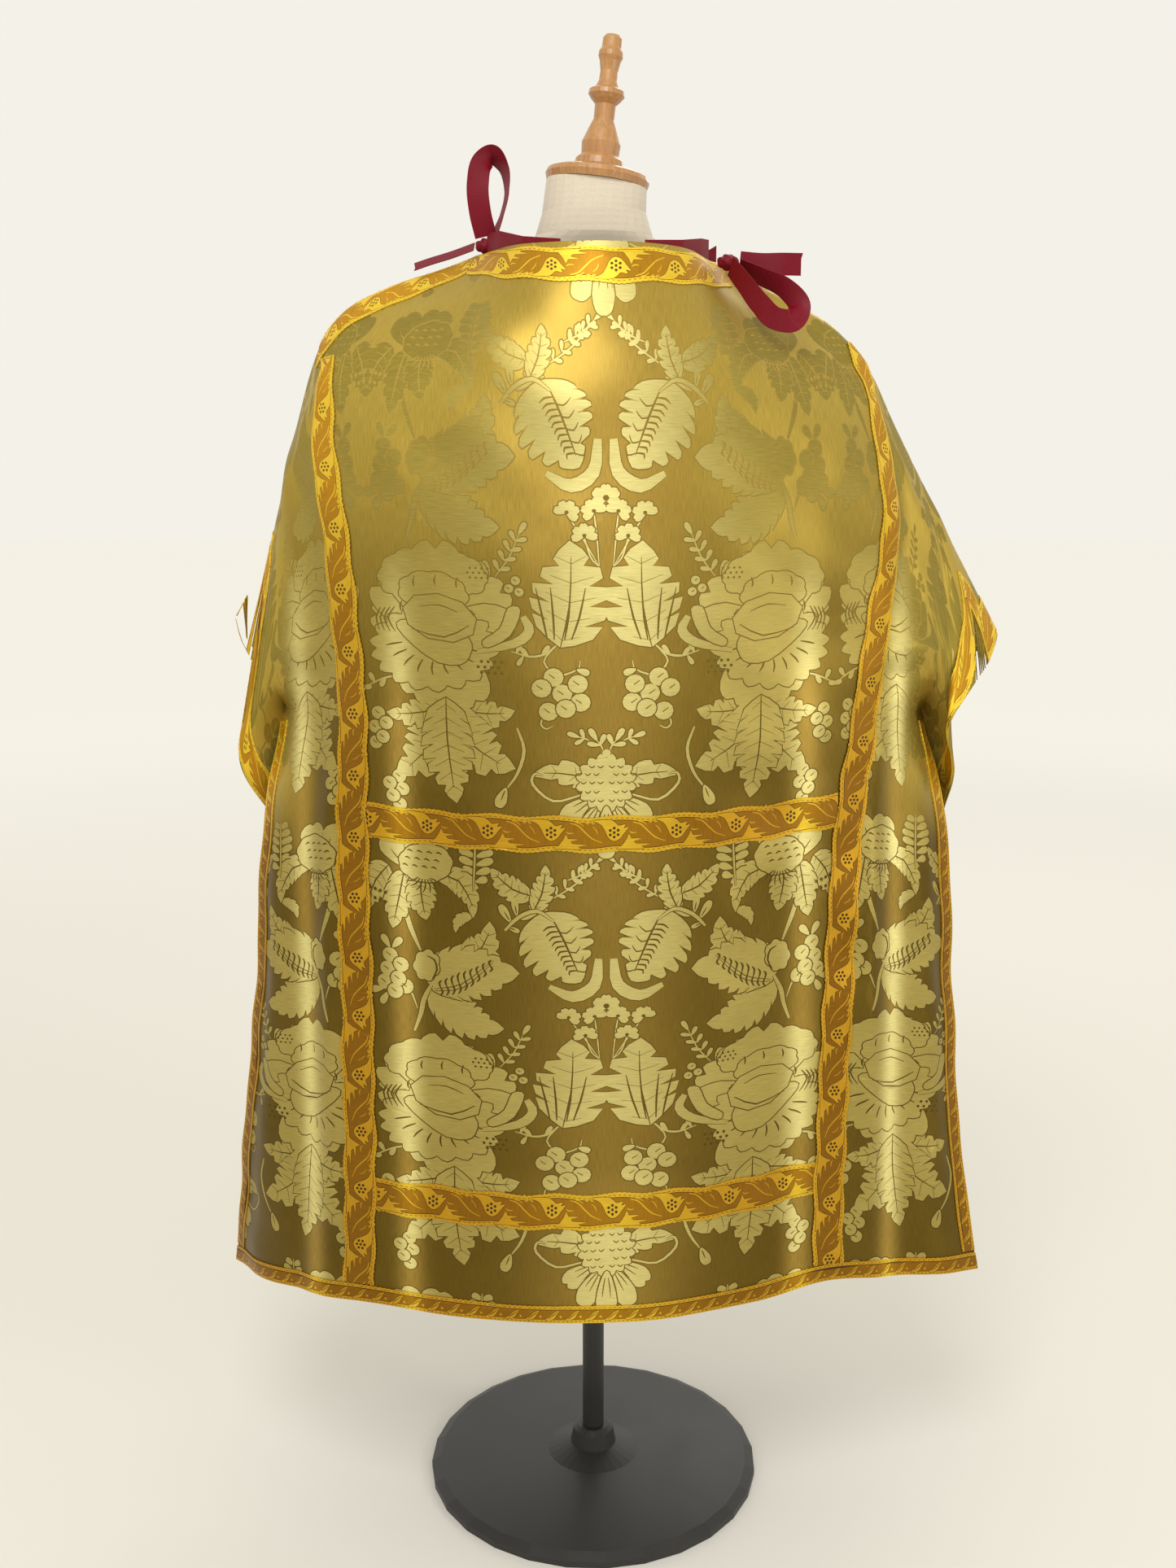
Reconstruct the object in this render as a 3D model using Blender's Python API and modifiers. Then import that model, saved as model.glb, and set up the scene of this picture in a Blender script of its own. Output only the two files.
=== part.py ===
"""A Roman dalmatic of gold damask on a limbless dress form with a turned wooden finial.

Metres, +Z up, the floor at z = 0. The back of the garment faces -Y and the wearer faces +Y.
The cloth is one net of control points for the back and one for the front. Every panel and every
galloon is cut from the same lattice of points on that net, so what lies on a panel follows it.
"""

import math
from typing import NamedTuple

import bmesh
import bpy
from mathutils import Matrix, Vector

# Cloth and trim
WALL = 0.0016
GALLOON_THICK = 0.0010
RIBBON_THICK = 0.0010
SEAM_GAP = 0.0003
WIDE_GALLOON = 0.045
NARROW_GALLOON = 0.022
NECK_SLIVER = 0.10
RIBBON_WIDTH = 0.025
SLIT_SPREAD = 0.08
FRONT_FULLNESS = 0.93
FRONT_NECK_DROP = 0.045

# Dress form
RING_SIDES = 28
ROUNDNESS = 2.2
NECK_LEAN = math.radians(6.5)
NECK_PIVOT = Vector((0.0, 0.0, 1.595))
POLE_RADIUS = 0.014
POLE_BOTTOM = 0.0553
POLE_TOP = 0.7797
BASE_RADIUS = 0.215


class Back(NamedTuple):
    """The centre line of one row of the net: how far behind the axis it lies, and its height."""

    name: str
    y: float
    z: float


class Side(NamedTuple):
    """One row of the net on one side: band seam, middle, slit edge and cuff edge, each x, y, z."""

    name: str
    band: tuple
    middle: tuple
    slit: tuple
    cuff: tuple = ()


class Fold(NamedTuple):
    """A soft trough or ridge. Column, row and their half widths are in net coordinates."""

    column: float
    row: float
    half_column: float
    half_row: float
    lean: float
    height: float


class Ring(NamedTuple):
    """One level section of the dress form."""

    z: float
    half_width: float
    half_depth: float


CENTRE_ROWS = (
    Back("ridge", -0.118, 1.543),
    Back("yoke", -0.136, 1.494),
    Back("chest", -0.163, 1.390),
    Back("blade", -0.178, 1.270),
    Back("elbow", -0.186, 1.150),
    Back("underarm", -0.190, 1.030),
    Back("upper bar", -0.191, 0.903),
    Back("seat", -0.197, 0.680),
    Back("lower bar", -0.205, 0.458),
    Back("hem", -0.210, 0.322),
)
# Each row: band seam, middle and slit edge, and above the slits the cuff edge.
LEFT_ROWS = (
    Side("ridge", (-0.300, 0.000, 1.465), (-0.349, 0.000, 1.340),
         (-0.386, 0.000, 1.200), (-0.424, 0.000, 1.129)),
    Side("yoke", (-0.303, -0.034, 1.426), (-0.354, -0.030, 1.302),
         (-0.393, -0.022, 1.166), (-0.417, -0.016, 1.106)),
    Side("chest", (-0.311, -0.062, 1.355), (-0.356, -0.052, 1.243),
         (-0.394, -0.038, 1.131), (-0.406, -0.022, 1.082)),
    Side("blade", (-0.301, -0.092, 1.262), (-0.350, -0.072, 1.176),
         (-0.389, -0.048, 1.096), (-0.411, -0.016, 1.040)),
    Side("elbow", (-0.289, -0.112, 1.147), (-0.340, -0.083, 1.100),
         (-0.380, -0.043, 1.060), (-0.426, -0.010, 0.955)),
    Side("underarm", (-0.281, -0.128, 1.027), (-0.328, -0.087, 1.024),
         (-0.371, 0.000, 1.024), (-0.388, 0.000, 0.882)),
    Side("upper bar", (-0.284, -0.138, 0.913), (-0.342, -0.101, 0.906), (-0.395, -0.038, 0.892)),
    Side("seat", (-0.283, -0.147, 0.686), (-0.352, -0.106, 0.683), (-0.415, -0.026, 0.680)),
    Side("lower bar", (-0.286, -0.153, 0.467), (-0.366, -0.106, 0.462), (-0.443, -0.004, 0.452)),
    Side("hem", (-0.291, -0.156, 0.331), (-0.378, -0.105, 0.322), (-0.461, 0.020, 0.298)),
)
RIGHT_ROWS = (
    Side("ridge", (0.305, 0.000, 1.444), (0.373, 0.000, 1.326),
         (0.432, 0.000, 1.220), (0.496, 0.000, 1.106)),
    Side("yoke", (0.318, -0.026, 1.402), (0.379, -0.030, 1.286),
         (0.434, -0.028, 1.182), (0.476, -0.034, 1.072)),
    Side("chest", (0.333, -0.052, 1.327), (0.384, -0.050, 1.226),
         (0.431, -0.044, 1.141), (0.450, -0.058, 1.046)),
    Side("blade", (0.341, -0.078, 1.236), (0.381, -0.068, 1.162),
         (0.422, -0.058, 1.100), (0.420, -0.076, 1.003)),
    Side("elbow", (0.323, -0.101, 1.131), (0.368, -0.088, 1.091),
         (0.411, -0.056, 1.058), (0.436, -0.052, 0.945)),
    Side("underarm", (0.305, -0.120, 1.020), (0.356, -0.089, 1.015),
         (0.403, 0.000, 1.013), (0.442, 0.000, 0.887)),
    Side("upper bar", (0.289, -0.131, 0.916), (0.352, -0.101, 0.905), (0.426, -0.045, 0.888)),
    Side("seat", (0.277, -0.147, 0.690), (0.358, -0.120, 0.686), (0.440, -0.062, 0.682)),
    Side("lower bar", (0.272, -0.156, 0.474), (0.367, -0.128, 0.466), (0.457, -0.080, 0.460)),
    Side("hem", (0.270, -0.164, 0.340), (0.374, -0.140, 0.328), (0.476, -0.105, 0.316)),
)
# The nape and the corner of the neck opening, on the ridge row and on the yoke row below it.
NAPE_LEFT = ((-0.078, -0.088, 1.544), (-0.084, -0.112, 1.500))
NAPE_RIGHT = ((0.084, -0.088, 1.542), (0.092, -0.110, 1.494))
NECK_LEFT = ((-0.131, 0.000, 1.542), (-0.141, -0.045, 1.512))
NECK_RIGHT = ((0.146, 0.000, 1.536), (0.152, -0.040, 1.502))

FOLDS = (
    Fold(column=-0.1, row=7.84, half_column=2.8, half_row=0.14, lean=0.02, height=-0.006),
    Fold(column=-0.2, row=7.55, half_column=2.6, half_row=0.20, lean=0.02, height=0.004),
    Fold(column=-3.95, row=7.6, half_column=0.30, half_row=2.2, lean=0.0, height=-0.012),
    Fold(column=4.00, row=7.8, half_column=0.28, half_row=2.0, lean=0.0, height=-0.010),
    Fold(column=-2.25, row=7.6, half_column=0.65, half_row=2.2, lean=0.0, height=-0.005),
    Fold(column=2.20, row=7.4, half_column=0.65, half_row=2.4, lean=0.0, height=-0.005),
    Fold(column=3.45, row=3.1, half_column=0.35, half_row=1.4, lean=0.0, height=-0.008),
    Fold(column=-3.55, row=3.4, half_column=0.35, half_row=1.5, lean=0.0, height=-0.007),
)

TORSO_RINGS = (
    Ring(0.780, 0.150, 0.112),
    Ring(0.792, 0.166, 0.124),
    Ring(0.880, 0.178, 0.130),
    Ring(0.980, 0.172, 0.124),
    Ring(1.110, 0.150, 0.110),
    Ring(1.230, 0.166, 0.116),
    Ring(1.330, 0.186, 0.112),
    Ring(1.400, 0.200, 0.096),
    Ring(1.450, 0.210, 0.070),
    Ring(1.482, 0.214, 0.044),
    Ring(1.499, 0.206, 0.030),
    Ring(1.508, 0.194, 0.025),
    Ring(1.523, 0.164, 0.032),
    Ring(1.534, 0.122, 0.038),
    Ring(1.546, 0.086, 0.046),
    Ring(1.565, 0.068, 0.054),
    Ring(1.590, 0.060, 0.055),
    Ring(1.622, 0.058, 0.054),
)

# Half profiles of the turned pieces, radius and height above the piece's own foot.
FINIAL_PROFILE = (
    (0.0, 0.1470), (0.0085, 0.1462), (0.0108, 0.1430), (0.0112, 0.1330), (0.0138, 0.1285),
    (0.0141, 0.1235), (0.0122, 0.1190), (0.0100, 0.1080), (0.0104, 0.0980), (0.0135, 0.0905),
    (0.0200, 0.0870), (0.0208, 0.0820), (0.0175, 0.0775), (0.0120, 0.0720), (0.0118, 0.0560),
    (0.0170, 0.0440), (0.0225, 0.0300), (0.0215, 0.0170), (0.0270, 0.0120), (0.0285, 0.0050),
    (0.0280, 0.0), (0.0, 0.0),
)
CAP_PROFILE = (
    (0.0, 0.0150), (0.050, 0.0150), (0.058, 0.0120), (0.060, 0.0070), (0.058, 0.0), (0.0, 0.0),
)
BASE_PROFILE = (
    (0.0, 0.055), (0.020, 0.055), (0.026, 0.050), (0.030, 0.030), (0.060, 0.020),
    (BASE_RADIUS - 0.012, 0.014), (BASE_RADIUS, 0.008), (BASE_RADIUS, 0.0), (0.0, 0.0),
)
TURNED_STEPS = 28

# Ties: each path point is x, y, z and the angle of the ribbon's width round its path, in degrees.
TIE_PATHS = {
    "tie_loop_left": (
        (-0.1245, -0.008, 1.5636, 0), (-0.131, -0.014, 1.590, 0), (-0.133, -0.014, 1.620, 4),
        (-0.127, -0.010, 1.644, 16), (-0.116, -0.006, 1.652, 40), (-0.104, -0.004, 1.640, 66),
        (-0.100, -0.004, 1.615, 80), (-0.106, -0.003, 1.588, 80), (-0.116, -0.001, 1.5640, 70),
    ),
    "tie_tail_left": (
        (-0.1379, -0.0030, 1.5532, 65), (-0.165, 0.004, 1.5445, 65), (-0.190, 0.005, 1.5370, 65),
        (-0.208, 0.006, 1.5310, 65),
    ),
    "tie_tail_right": (
        (0.1644, -0.0350, 1.5342, 0), (0.190, -0.038, 1.5320, 0), (0.212, -0.042, 1.5320, 0),
        (0.236, -0.041, 1.5320, 0),
    ),
    "tie_loop_right": (
        (0.1526, -0.0447, 1.5288, 60), (0.166, -0.066, 1.506, 50), (0.180, -0.082, 1.484, 36),
        (0.196, -0.098, 1.466, 20), (0.214, -0.100, 1.464, 4), (0.224, -0.088, 1.480, -20),
        (0.210, -0.072, 1.502, -40), (0.188, -0.058, 1.515, -50), (0.1634, -0.0440, 1.5275, -56),
    ),
}
TIE_KNOTS = {
    "tie_knot_left": (-0.1245, -0.0035, 1.5535),
    "tie_knot_right": (0.1505, -0.0350, 1.5342),
}
# A strand follows the neck edge inside it. It starts part of the way to the second point.
STRAND_COLUMNS = ("neck", "collar", "nape", "spine")
STRAND_START = {"back left": 0.36, "back right": 0.60, "front left": 0.20, "front right": 0.10}
STRAND_RISE = (0.0105, 0.0085, -0.0030, -0.0085)
KNOT_HALF_SIZES = (0.0130, 0.0110, 0.0095)

MATERIALS = {
    "damask": ((0.55, 0.40, 0.13), 0.38, 0.0),
    "galloon": ((0.86, 0.60, 0.10), 0.42, 0.0),
    "ribbon": ((0.22, 0.003, 0.020), 0.50, 0.0),
    "form_cloth": ((0.78, 0.74, 0.66), 0.85, 0.0),
    "oak": ((0.56, 0.36, 0.17), 0.40, 0.0),
    "painted_steel": ((0.09, 0.085, 0.08), 0.45, 0.3),
}

# Lines of the lattice, in net coordinates. Named lines are moved to a galloon's real edge.
RIDGE_ROW, YOKE_ROW, UNDERARM_ROW, HEM_ROW = 0.0, 1.0, 5.0, 9.0
UPPER_BAR_ROW, LOWER_BAR_ROW = 6.0, 8.0
NECK_COLUMN, BAND_COLUMN, SLIT_COLUMN, CUFF_COLUMN = 2.0, 3.0, 5.0, 6.0
SLIT_TRIM_ROW = 5.14
PLAIN_ROWS = (0.0, NECK_SLIVER, 1.0, 1.5, 2.0, 2.5, 3.0, 3.5, 4.0, 4.5, 5.0, SLIT_TRIM_ROW, 5.5)
LOW_ROWS = (6.5, 7.0, 7.45, 7.80)
PLAIN_COLUMNS = (0.55, 1.10, 1.55, 2.0, 2.45)
SIDE_COLUMNS = (3.6, 4.0, 4.4)
CREASE_ROWS = 2.0
MARCH_STEP = 0.01


def slopes(points):
    """Slope of a smooth curve at each of its points, weighted so that close points do not overshoot."""
    chords = [(b - a).length for a, b in zip(points, points[1:])]
    steps = [(b - a) / d for a, b, d in zip(points, points[1:], chords)]
    inner = [
        (steps[i] * chords[i + 1] + steps[i + 1] * chords[i]) / (chords[i] + chords[i + 1])
        for i in range(len(steps) - 1)
    ]
    return [steps[0], *inner, steps[-1]]


def between(a, b, slope_a, slope_b, t):
    """Point at t of the cubic that leaves a and meets b with the given slopes."""
    chord = (b - a).length
    square, cube = t * t, t * t * t
    return (
        a * (2 * cube - 3 * square + 1)
        + b * (3 * square - 2 * cube)
        + slope_a * (chord * (cube - 2 * square + t))
        + slope_b * (chord * (cube - square))
    )


def on_curve(points, t):
    """Point at t of the smooth curve through the points, which lie at t = 0, 1, 2 and so on."""
    slope = slopes(points)
    i = min(int(t), len(points) - 2)
    return between(points[i], points[i + 1], slope[i], slope[i + 1], t - i)


def mirrored(point):
    """The same point on the other side of the shoulder ridge."""
    return Vector((point.x, -point.y, point.z))


class Net:
    """The control points of the back or the front, as columns from the left cuff to the right."""

    def __init__(self, front):
        self.front = front
        centre = [Vector((0.0, row.y, row.z)) for row in CENTRE_ROWS]
        self.columns = {0: [self.dropped(p, i) for i, p in enumerate(centre)]}
        for sign, rows, nape, neck in (
            (-1, LEFT_ROWS, NAPE_LEFT, NECK_LEFT),
            (1, RIGHT_ROWS, NAPE_RIGHT, NECK_RIGHT),
        ):
            band = [self.turned(Vector(row.band)) for row in rows]
            lower = list(zip(self.columns[0], band))[len(neck):]
            napes = [self.dropped(Vector(point), i) for i, point in enumerate(nape)]
            corners = [self.turned(Vector(point)) for point in neck]
            self.columns[sign] = napes + [self.inset(*pair, 1 / 3) for pair in lower]
            self.columns[sign * 2] = corners + [self.inset(*pair, 2 / 3) for pair in lower]
            self.columns[sign * 3] = band
            self.columns[sign * 4] = [self.turned(Vector(row.middle)) for row in rows]
            self.columns[sign * 5] = [self.slit_edge(row, i) for i, row in enumerate(rows)]
            self.columns[sign * 6] = [self.turned(Vector(row.cuff)) for row in rows if row.cuff]

    def turned(self, point):
        """A point of the back as it lies on this side."""
        return mirrored(point) if self.front else point

    def dropped(self, point, row):
        """A centre point: the front is a little flatter and its neck is cut lower."""
        if not self.front:
            return point
        centred = 1 - (point.x / NECK_LEFT[0][0]) ** 2
        drop = FRONT_NECK_DROP * centred * max(0.0, min(1.0, (3 - row) / 2))
        return Vector((point.x, -point.y * FRONT_FULLNESS, point.z - drop))

    def slit_edge(self, side, row):
        """The side edge, where the front stands off the back by more towards the hem."""
        point = Vector(side.slit)
        if not self.front:
            return point
        fall = max(0.0, (row - UNDERARM_ROW) / (HEM_ROW - UNDERARM_ROW))
        return Vector((point.x, max(-point.y, point.y + SLIT_SPREAD * fall), point.z))

    def inset(self, centre, band, part_way):
        """Part of the way from the centre line to the band, on a rounded back."""
        bend = part_way * part_way
        return Vector((
            centre.x + (band.x - centre.x) * part_way,
            centre.y + (band.y - centre.y) * bend,
            centre.z + (band.z - centre.z) * bend,
        ))

    def down(self, column, row):
        """Point of a control column at a row."""
        points = self.columns[column]
        if abs(column) == SLIT_COLUMN and row > UNDERARM_ROW:
            return on_curve(points[int(UNDERARM_ROW):], row - UNDERARM_ROW)
        if abs(column) == SLIT_COLUMN:
            points = points[: int(UNDERARM_ROW) + 1]
        if column == 0:
            return on_curve(points, row)
        return on_curve([mirrored(points[1]), *points], row + 1)

    def plain(self, column, row):
        """Point of the net before folds."""
        last = int(CUFF_COLUMN if row <= UNDERARM_ROW else SLIT_COLUMN)
        points = [self.down(k, row) for k in range(-last, last + 1)]
        slope = slopes(points)
        t = max(0.0, min(column + last, len(points) - 1.0))
        i = min(int(t), len(points) - 2)
        straight = (points[i + 1] - points[i]).normalized()
        leave = slope[i].lerp(straight, self.crease(abs(i - last), row))
        meet = slope[i + 1].lerp(straight, self.crease(abs(i + 1 - last), row))
        return between(points[i], points[i + 1], leave, meet, t - i)

    def crease(self, column, row):
        """How sharp the row is at a control column: at the neck's corners and above the slits."""
        if column == NECK_COLUMN:
            return max(0.0, 1 - row / CREASE_ROWS)
        if column == SLIT_COLUMN and row <= UNDERARM_ROW:
            return max(0.0, row - (UNDERARM_ROW - 1))
        return 0.0

    def fold_height(self, column, row):
        """How far the folds lift the cloth here."""
        total = 0.0
        for fold in FOLDS:
            across = (column - fold.column - fold.lean * (row - fold.row)) / fold.half_column
            along = (row - fold.row - fold.lean * (column - fold.column)) / fold.half_row
            total += fold.height * math.exp(-across * across - along * along)
        return total

    def outward(self, column, row):
        """Unit normal of the net, pointing away from the wearer."""
        edge = CUFF_COLUMN if row <= UNDERARM_ROW else SLIT_COLUMN
        low, high = max(-edge, column - MARCH_STEP), min(edge, column + MARCH_STEP)
        top = max(RIDGE_ROW, row - MARCH_STEP)
        bottom = min(HEM_ROW, row + MARCH_STEP)
        if abs(column) > SLIT_COLUMN:
            bottom = min(UNDERARM_ROW, bottom)
        along = self.plain(high, row) - self.plain(low, row)
        down = self.plain(column, bottom) - self.plain(column, top)
        normal = down.cross(along).normalized()
        return -normal if self.front else normal

    def point(self, column, row):
        """Point of the inner face of the cloth."""
        point = self.plain(column, row)
        height = self.fold_height(column, row)
        if abs(column) >= SLIT_COLUMN and row <= UNDERARM_ROW:
            return point
        return point + self.outward(column, row) * height

    def step_across(self, column, row, distance):
        """Column that lies this far along a row from another, with its sign."""
        direction = math.copysign(MARCH_STEP, distance)
        here, travelled = self.plain(column, row), 0.0
        while True:
            ahead = self.plain(column + direction, row)
            piece = (ahead - here).length
            if travelled + piece >= abs(distance):
                return column + direction * (abs(distance) - travelled) / piece
            column, here, travelled = column + direction, ahead, travelled + piece

    def step_down(self, row, distance):
        """Row that lies this far down the centre line from another, with its sign."""
        speed = (self.plain(0, row + MARCH_STEP) - self.plain(0, row - MARCH_STEP)).length
        return row + distance * 2 * MARCH_STEP / speed


class Lattice:
    """The net's points on the lines that edges, seams and galloons share."""

    def __init__(self, net):
        self.net = net
        half = WIDE_GALLOON / 2
        upper = [net.step_down(UPPER_BAR_ROW, side * half) for side in (-1, 1)]
        lower = [net.step_down(LOWER_BAR_ROW, side * half) for side in (-1, 1)]
        hem_top = net.step_down(HEM_ROW - MARCH_STEP, -NARROW_GALLOON)
        self.rows = [*PLAIN_ROWS, *upper, *LOW_ROWS, *lower, hem_top, HEM_ROW]
        self.row_of = {
            "ridge": 0, "neck line": 1, "yoke": 2, "underarm": self.rows.index(UNDERARM_ROW),
            "slit trim top": self.rows.index(SLIT_TRIM_ROW),
            "upper top": self.rows.index(upper[0]), "upper foot": self.rows.index(upper[1]),
            "lower top": self.rows.index(lower[0]), "lower foot": self.rows.index(lower[1]),
            "hem top": len(self.rows) - 2, "hem": len(self.rows) - 1,
        }
        names = [
            "spine", "nape", "collar", "neck", "shoulder", "band inner", "seam", "band outer",
            "side", "middle", "gore", "slit trim", "slit", "tongue", "cuff trim", "cuff",
        ]
        self.column_of = {"centre": len(names)}
        for i, name in enumerate(names):
            self.column_of["left " + name] = len(names) - 1 - i
            self.column_of["right " + name] = len(names) + 1 + i
        self.columns = [self.line(row) for row in self.rows]
        self.slit_columns = (self.column_of["left slit"], self.column_of["right slit"])
        self.points = [
            [self.seamed(column, row) for column in line]
            for line, row in zip(self.columns, self.rows)
        ]
        self.normals = [
            [self.normal(r, c) for c in range(len(line))] for r, line in enumerate(self.points)
        ]

    def line(self, row):
        """The columns of one row line, from the left cuff to the right cuff."""
        sides = []
        for sign in (-1, 1):
            band = sign * BAND_COLUMN
            inner = self.net.step_across(band, row, -sign * WIDE_GALLOON / 2)
            outer = self.net.step_across(band, row, sign * WIDE_GALLOON / 2)
            trim = self.net.step_across(sign * SLIT_COLUMN, row, -sign * NARROW_GALLOON)
            side = [sign * c for c in PLAIN_COLUMNS] + [inner, band, outer]
            side += [sign * c for c in SIDE_COLUMNS] + [trim, sign * SLIT_COLUMN]
            if row <= UNDERARM_ROW:
                cuff = sign * CUFF_COLUMN
                cuff_trim = self.net.step_across(cuff - sign * MARCH_STEP, row, -sign * WIDE_GALLOON)
                side += [(sign * SLIT_COLUMN + cuff_trim) / 2, cuff_trim, cuff]
            else:
                side += [None, None, None]
            sides.append(side)
        return [*reversed(sides[0]), 0.0, *sides[1]]

    def seamed(self, column, row):
        """A lattice point, kept half a gap off the plane where back and front meet."""
        if column is None:
            return None
        point = self.net.point(column, row)
        if row <= UNDERARM_ROW:
            if self.net.front:
                point.y = max(point.y, SEAM_GAP / 2)
            else:
                point.y = min(point.y, -SEAM_GAP / 2)
        return point

    def has_cell(self, r, c):
        """Whether the cell below and to the right of this point is cloth."""
        if not (0 <= r < len(self.rows) - 1 and 0 <= c < len(self.points[0]) - 1):
            return False
        if r >= self.row_of["underarm"]:
            return self.slit_columns[0] <= c < self.slit_columns[1]
        return True

    def normal(self, r, c):
        """Outward normal at a lattice point, from the cells round it."""
        if self.points[r][c] is None:
            return None
        total = Vector()
        for row in (r - 1, r):
            for column in (c - 1, c):
                if self.has_cell(row, column):
                    a, b = self.points[row][column], self.points[row + 1][column + 1]
                    d, e = self.points[row][column + 1], self.points[row + 1][column]
                    total += (b - a).cross(d - e).normalized()
        if r == 0 and abs(self.columns[r][c]) >= NECK_COLUMN:
            total.y = 0.0
        total.normalize()
        return -total if self.net.front else total

    def cells(self, top, foot, left, right):
        """The cells between two row lines and two column lines, by name."""
        rows = range(self.row_of[top], self.row_of[foot])
        columns = range(self.column_of[left], self.column_of[right])
        return [(r, c) for r in rows for c in columns if self.has_cell(r, c)]


def boundary(cells):
    """Edges of the cells that only one cell has, each with the two points across from it."""
    edges = {}
    for r, c in cells:
        a, b, d, e = (r, c), (r, c + 1), (r + 1, c + 1), (r + 1, c)
        for start, end, far_start, far_end in ((a, b, e, d), (b, d, a, e), (d, e, b, a), (e, a, d, b)):
            if (end, start) in edges:
                del edges[(end, start)]
            else:
                edges[(start, end)] = (far_start, far_end)
    return edges


def wall(name, lattice, cells, low, high, material):
    """A closed wall over some cells of the lattice, between two heights above its points."""
    edges = boundary(cells)
    shift = {}
    for (start, end), (far_start, far_end) in edges.items():
        for near, far in ((start, far_start), (end, far_end)):
            inward = lattice.points[far[0]][far[1]] - lattice.points[near[0]][near[1]]
            shift.setdefault(near, Vector())
            shift[near] += inward.normalized() * (SEAM_GAP / 4)
    corners = sorted({(r + i, c + j) for r, c in cells for i in (0, 1) for j in (0, 1)})
    mesh = bmesh.new()
    faces = {}
    for r, c in corners:
        base = lattice.points[r][c] + shift.get((r, c), Vector())
        normal = lattice.normals[r][c]
        faces[(r, c)] = (mesh.verts.new(base + normal * low), mesh.verts.new(base + normal * high))
    for r, c in cells:
        for loop in (
            ((r, c), (r + 1, c), (r + 1, c + 1)),
            ((r, c), (r + 1, c + 1), (r, c + 1)),
        ):
            mesh.faces.new([faces[p][1] for p in loop])
            mesh.faces.new([faces[p][0] for p in reversed(loop)])
    for start, end in edges:
        first, last = min(start, end), max(start, end)
        low_first, high_first = faces[first]
        low_last, high_last = faces[last]
        mesh.faces.new((high_first, high_last, low_first))
        mesh.faces.new((high_last, low_last, low_first))
    bmesh.ops.recalc_face_normals(mesh, faces=mesh.faces)
    return placed(name, mesh, material)


def placed(name, mesh, material):
    """A new object of the garment from a bmesh, which is freed."""
    data = bpy.data.meshes.new(name)
    mesh.to_mesh(data)
    mesh.free()
    data.materials.append(bpy.data.materials[material])
    data.shade_smooth()
    data.set_sharp_from_angle(angle=math.radians(40))
    thing = bpy.data.objects.new(name, data)
    bpy.data.collections["dalmatic"].objects.link(thing)
    return thing


def make_materials():
    """One material for each stuff, with its colour, roughness and metallic value."""
    for name, (colour, roughness, metallic) in MATERIALS.items():
        material = bpy.data.materials.new(name)
        material.use_nodes = True
        shader = material.node_tree.nodes["Principled BSDF"]
        shader.inputs["Base Color"].default_value = (*colour, 1.0)
        shader.inputs["Roughness"].default_value = roughness
        shader.inputs["Metallic"].default_value = metallic


def make_cloth(lattice):
    """The panels of one sheet: the centre panel and a T-shaped side piece on each side."""
    face = "front" if lattice.net.front else "back"
    panel = lattice.cells("ridge", "hem", "left seam", "right seam")
    wall(f"{face}_panel", lattice, panel, 0.0, WALL, "damask")
    left = lattice.cells("ridge", "hem", "left cuff", "left seam")
    wall(f"side_{face}_left", lattice, left, 0.0, WALL, "damask")
    right = lattice.cells("ridge", "hem", "right seam", "right cuff")
    wall(f"side_{face}_right", lattice, right, 0.0, WALL, "damask")


def make_galloons(lattice):
    """The trims that lie on one sheet."""
    face = "front" if lattice.net.front else "back"
    strip_side = "right" if lattice.net.front else "left"
    spans = {
        f"neck_galloon_{face}": ("neck line", "yoke", "left neck", "right neck"),
        f"bar_{face}_upper": ("upper top", "upper foot", "left band inner", "right band inner"),
        f"bar_{face}_lower": ("lower top", "lower foot", "left band inner", "right band inner"),
        f"hem_galloon_{face}": ("hem top", "hem", "left slit", "right slit"),
        f"slit_galloon_{face}_left": ("slit trim top", "hem top", "left slit", "left slit trim"),
        f"slit_galloon_{face}_right": ("slit trim top", "hem top", "right slit trim", "right slit"),
        f"cuff_galloon_{face}_left": ("ridge", "underarm", "left cuff", "left cuff trim"),
        f"cuff_galloon_{face}_right": ("ridge", "underarm", "right cuff trim", "right cuff"),
    }
    for side, edges in (
        ("left", ("left band outer", "left band inner")),
        ("right", ("right band inner", "right band outer")),
    ):
        top = "yoke" if side == strip_side else "ridge"
        spans[f"band_{face}_{side}"] = (top, "hem top", *edges)
    if strip_side == "left":
        spans["shoulder_galloon_left"] = ("ridge", "yoke", "left band outer", "left neck")
    else:
        spans["shoulder_galloon_right"] = ("ridge", "yoke", "right neck", "right band outer")
    low = WALL + SEAM_GAP
    for name, span in spans.items():
        wall(name, lattice, lattice.cells(*span), low, low + GALLOON_THICK, "galloon")


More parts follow.
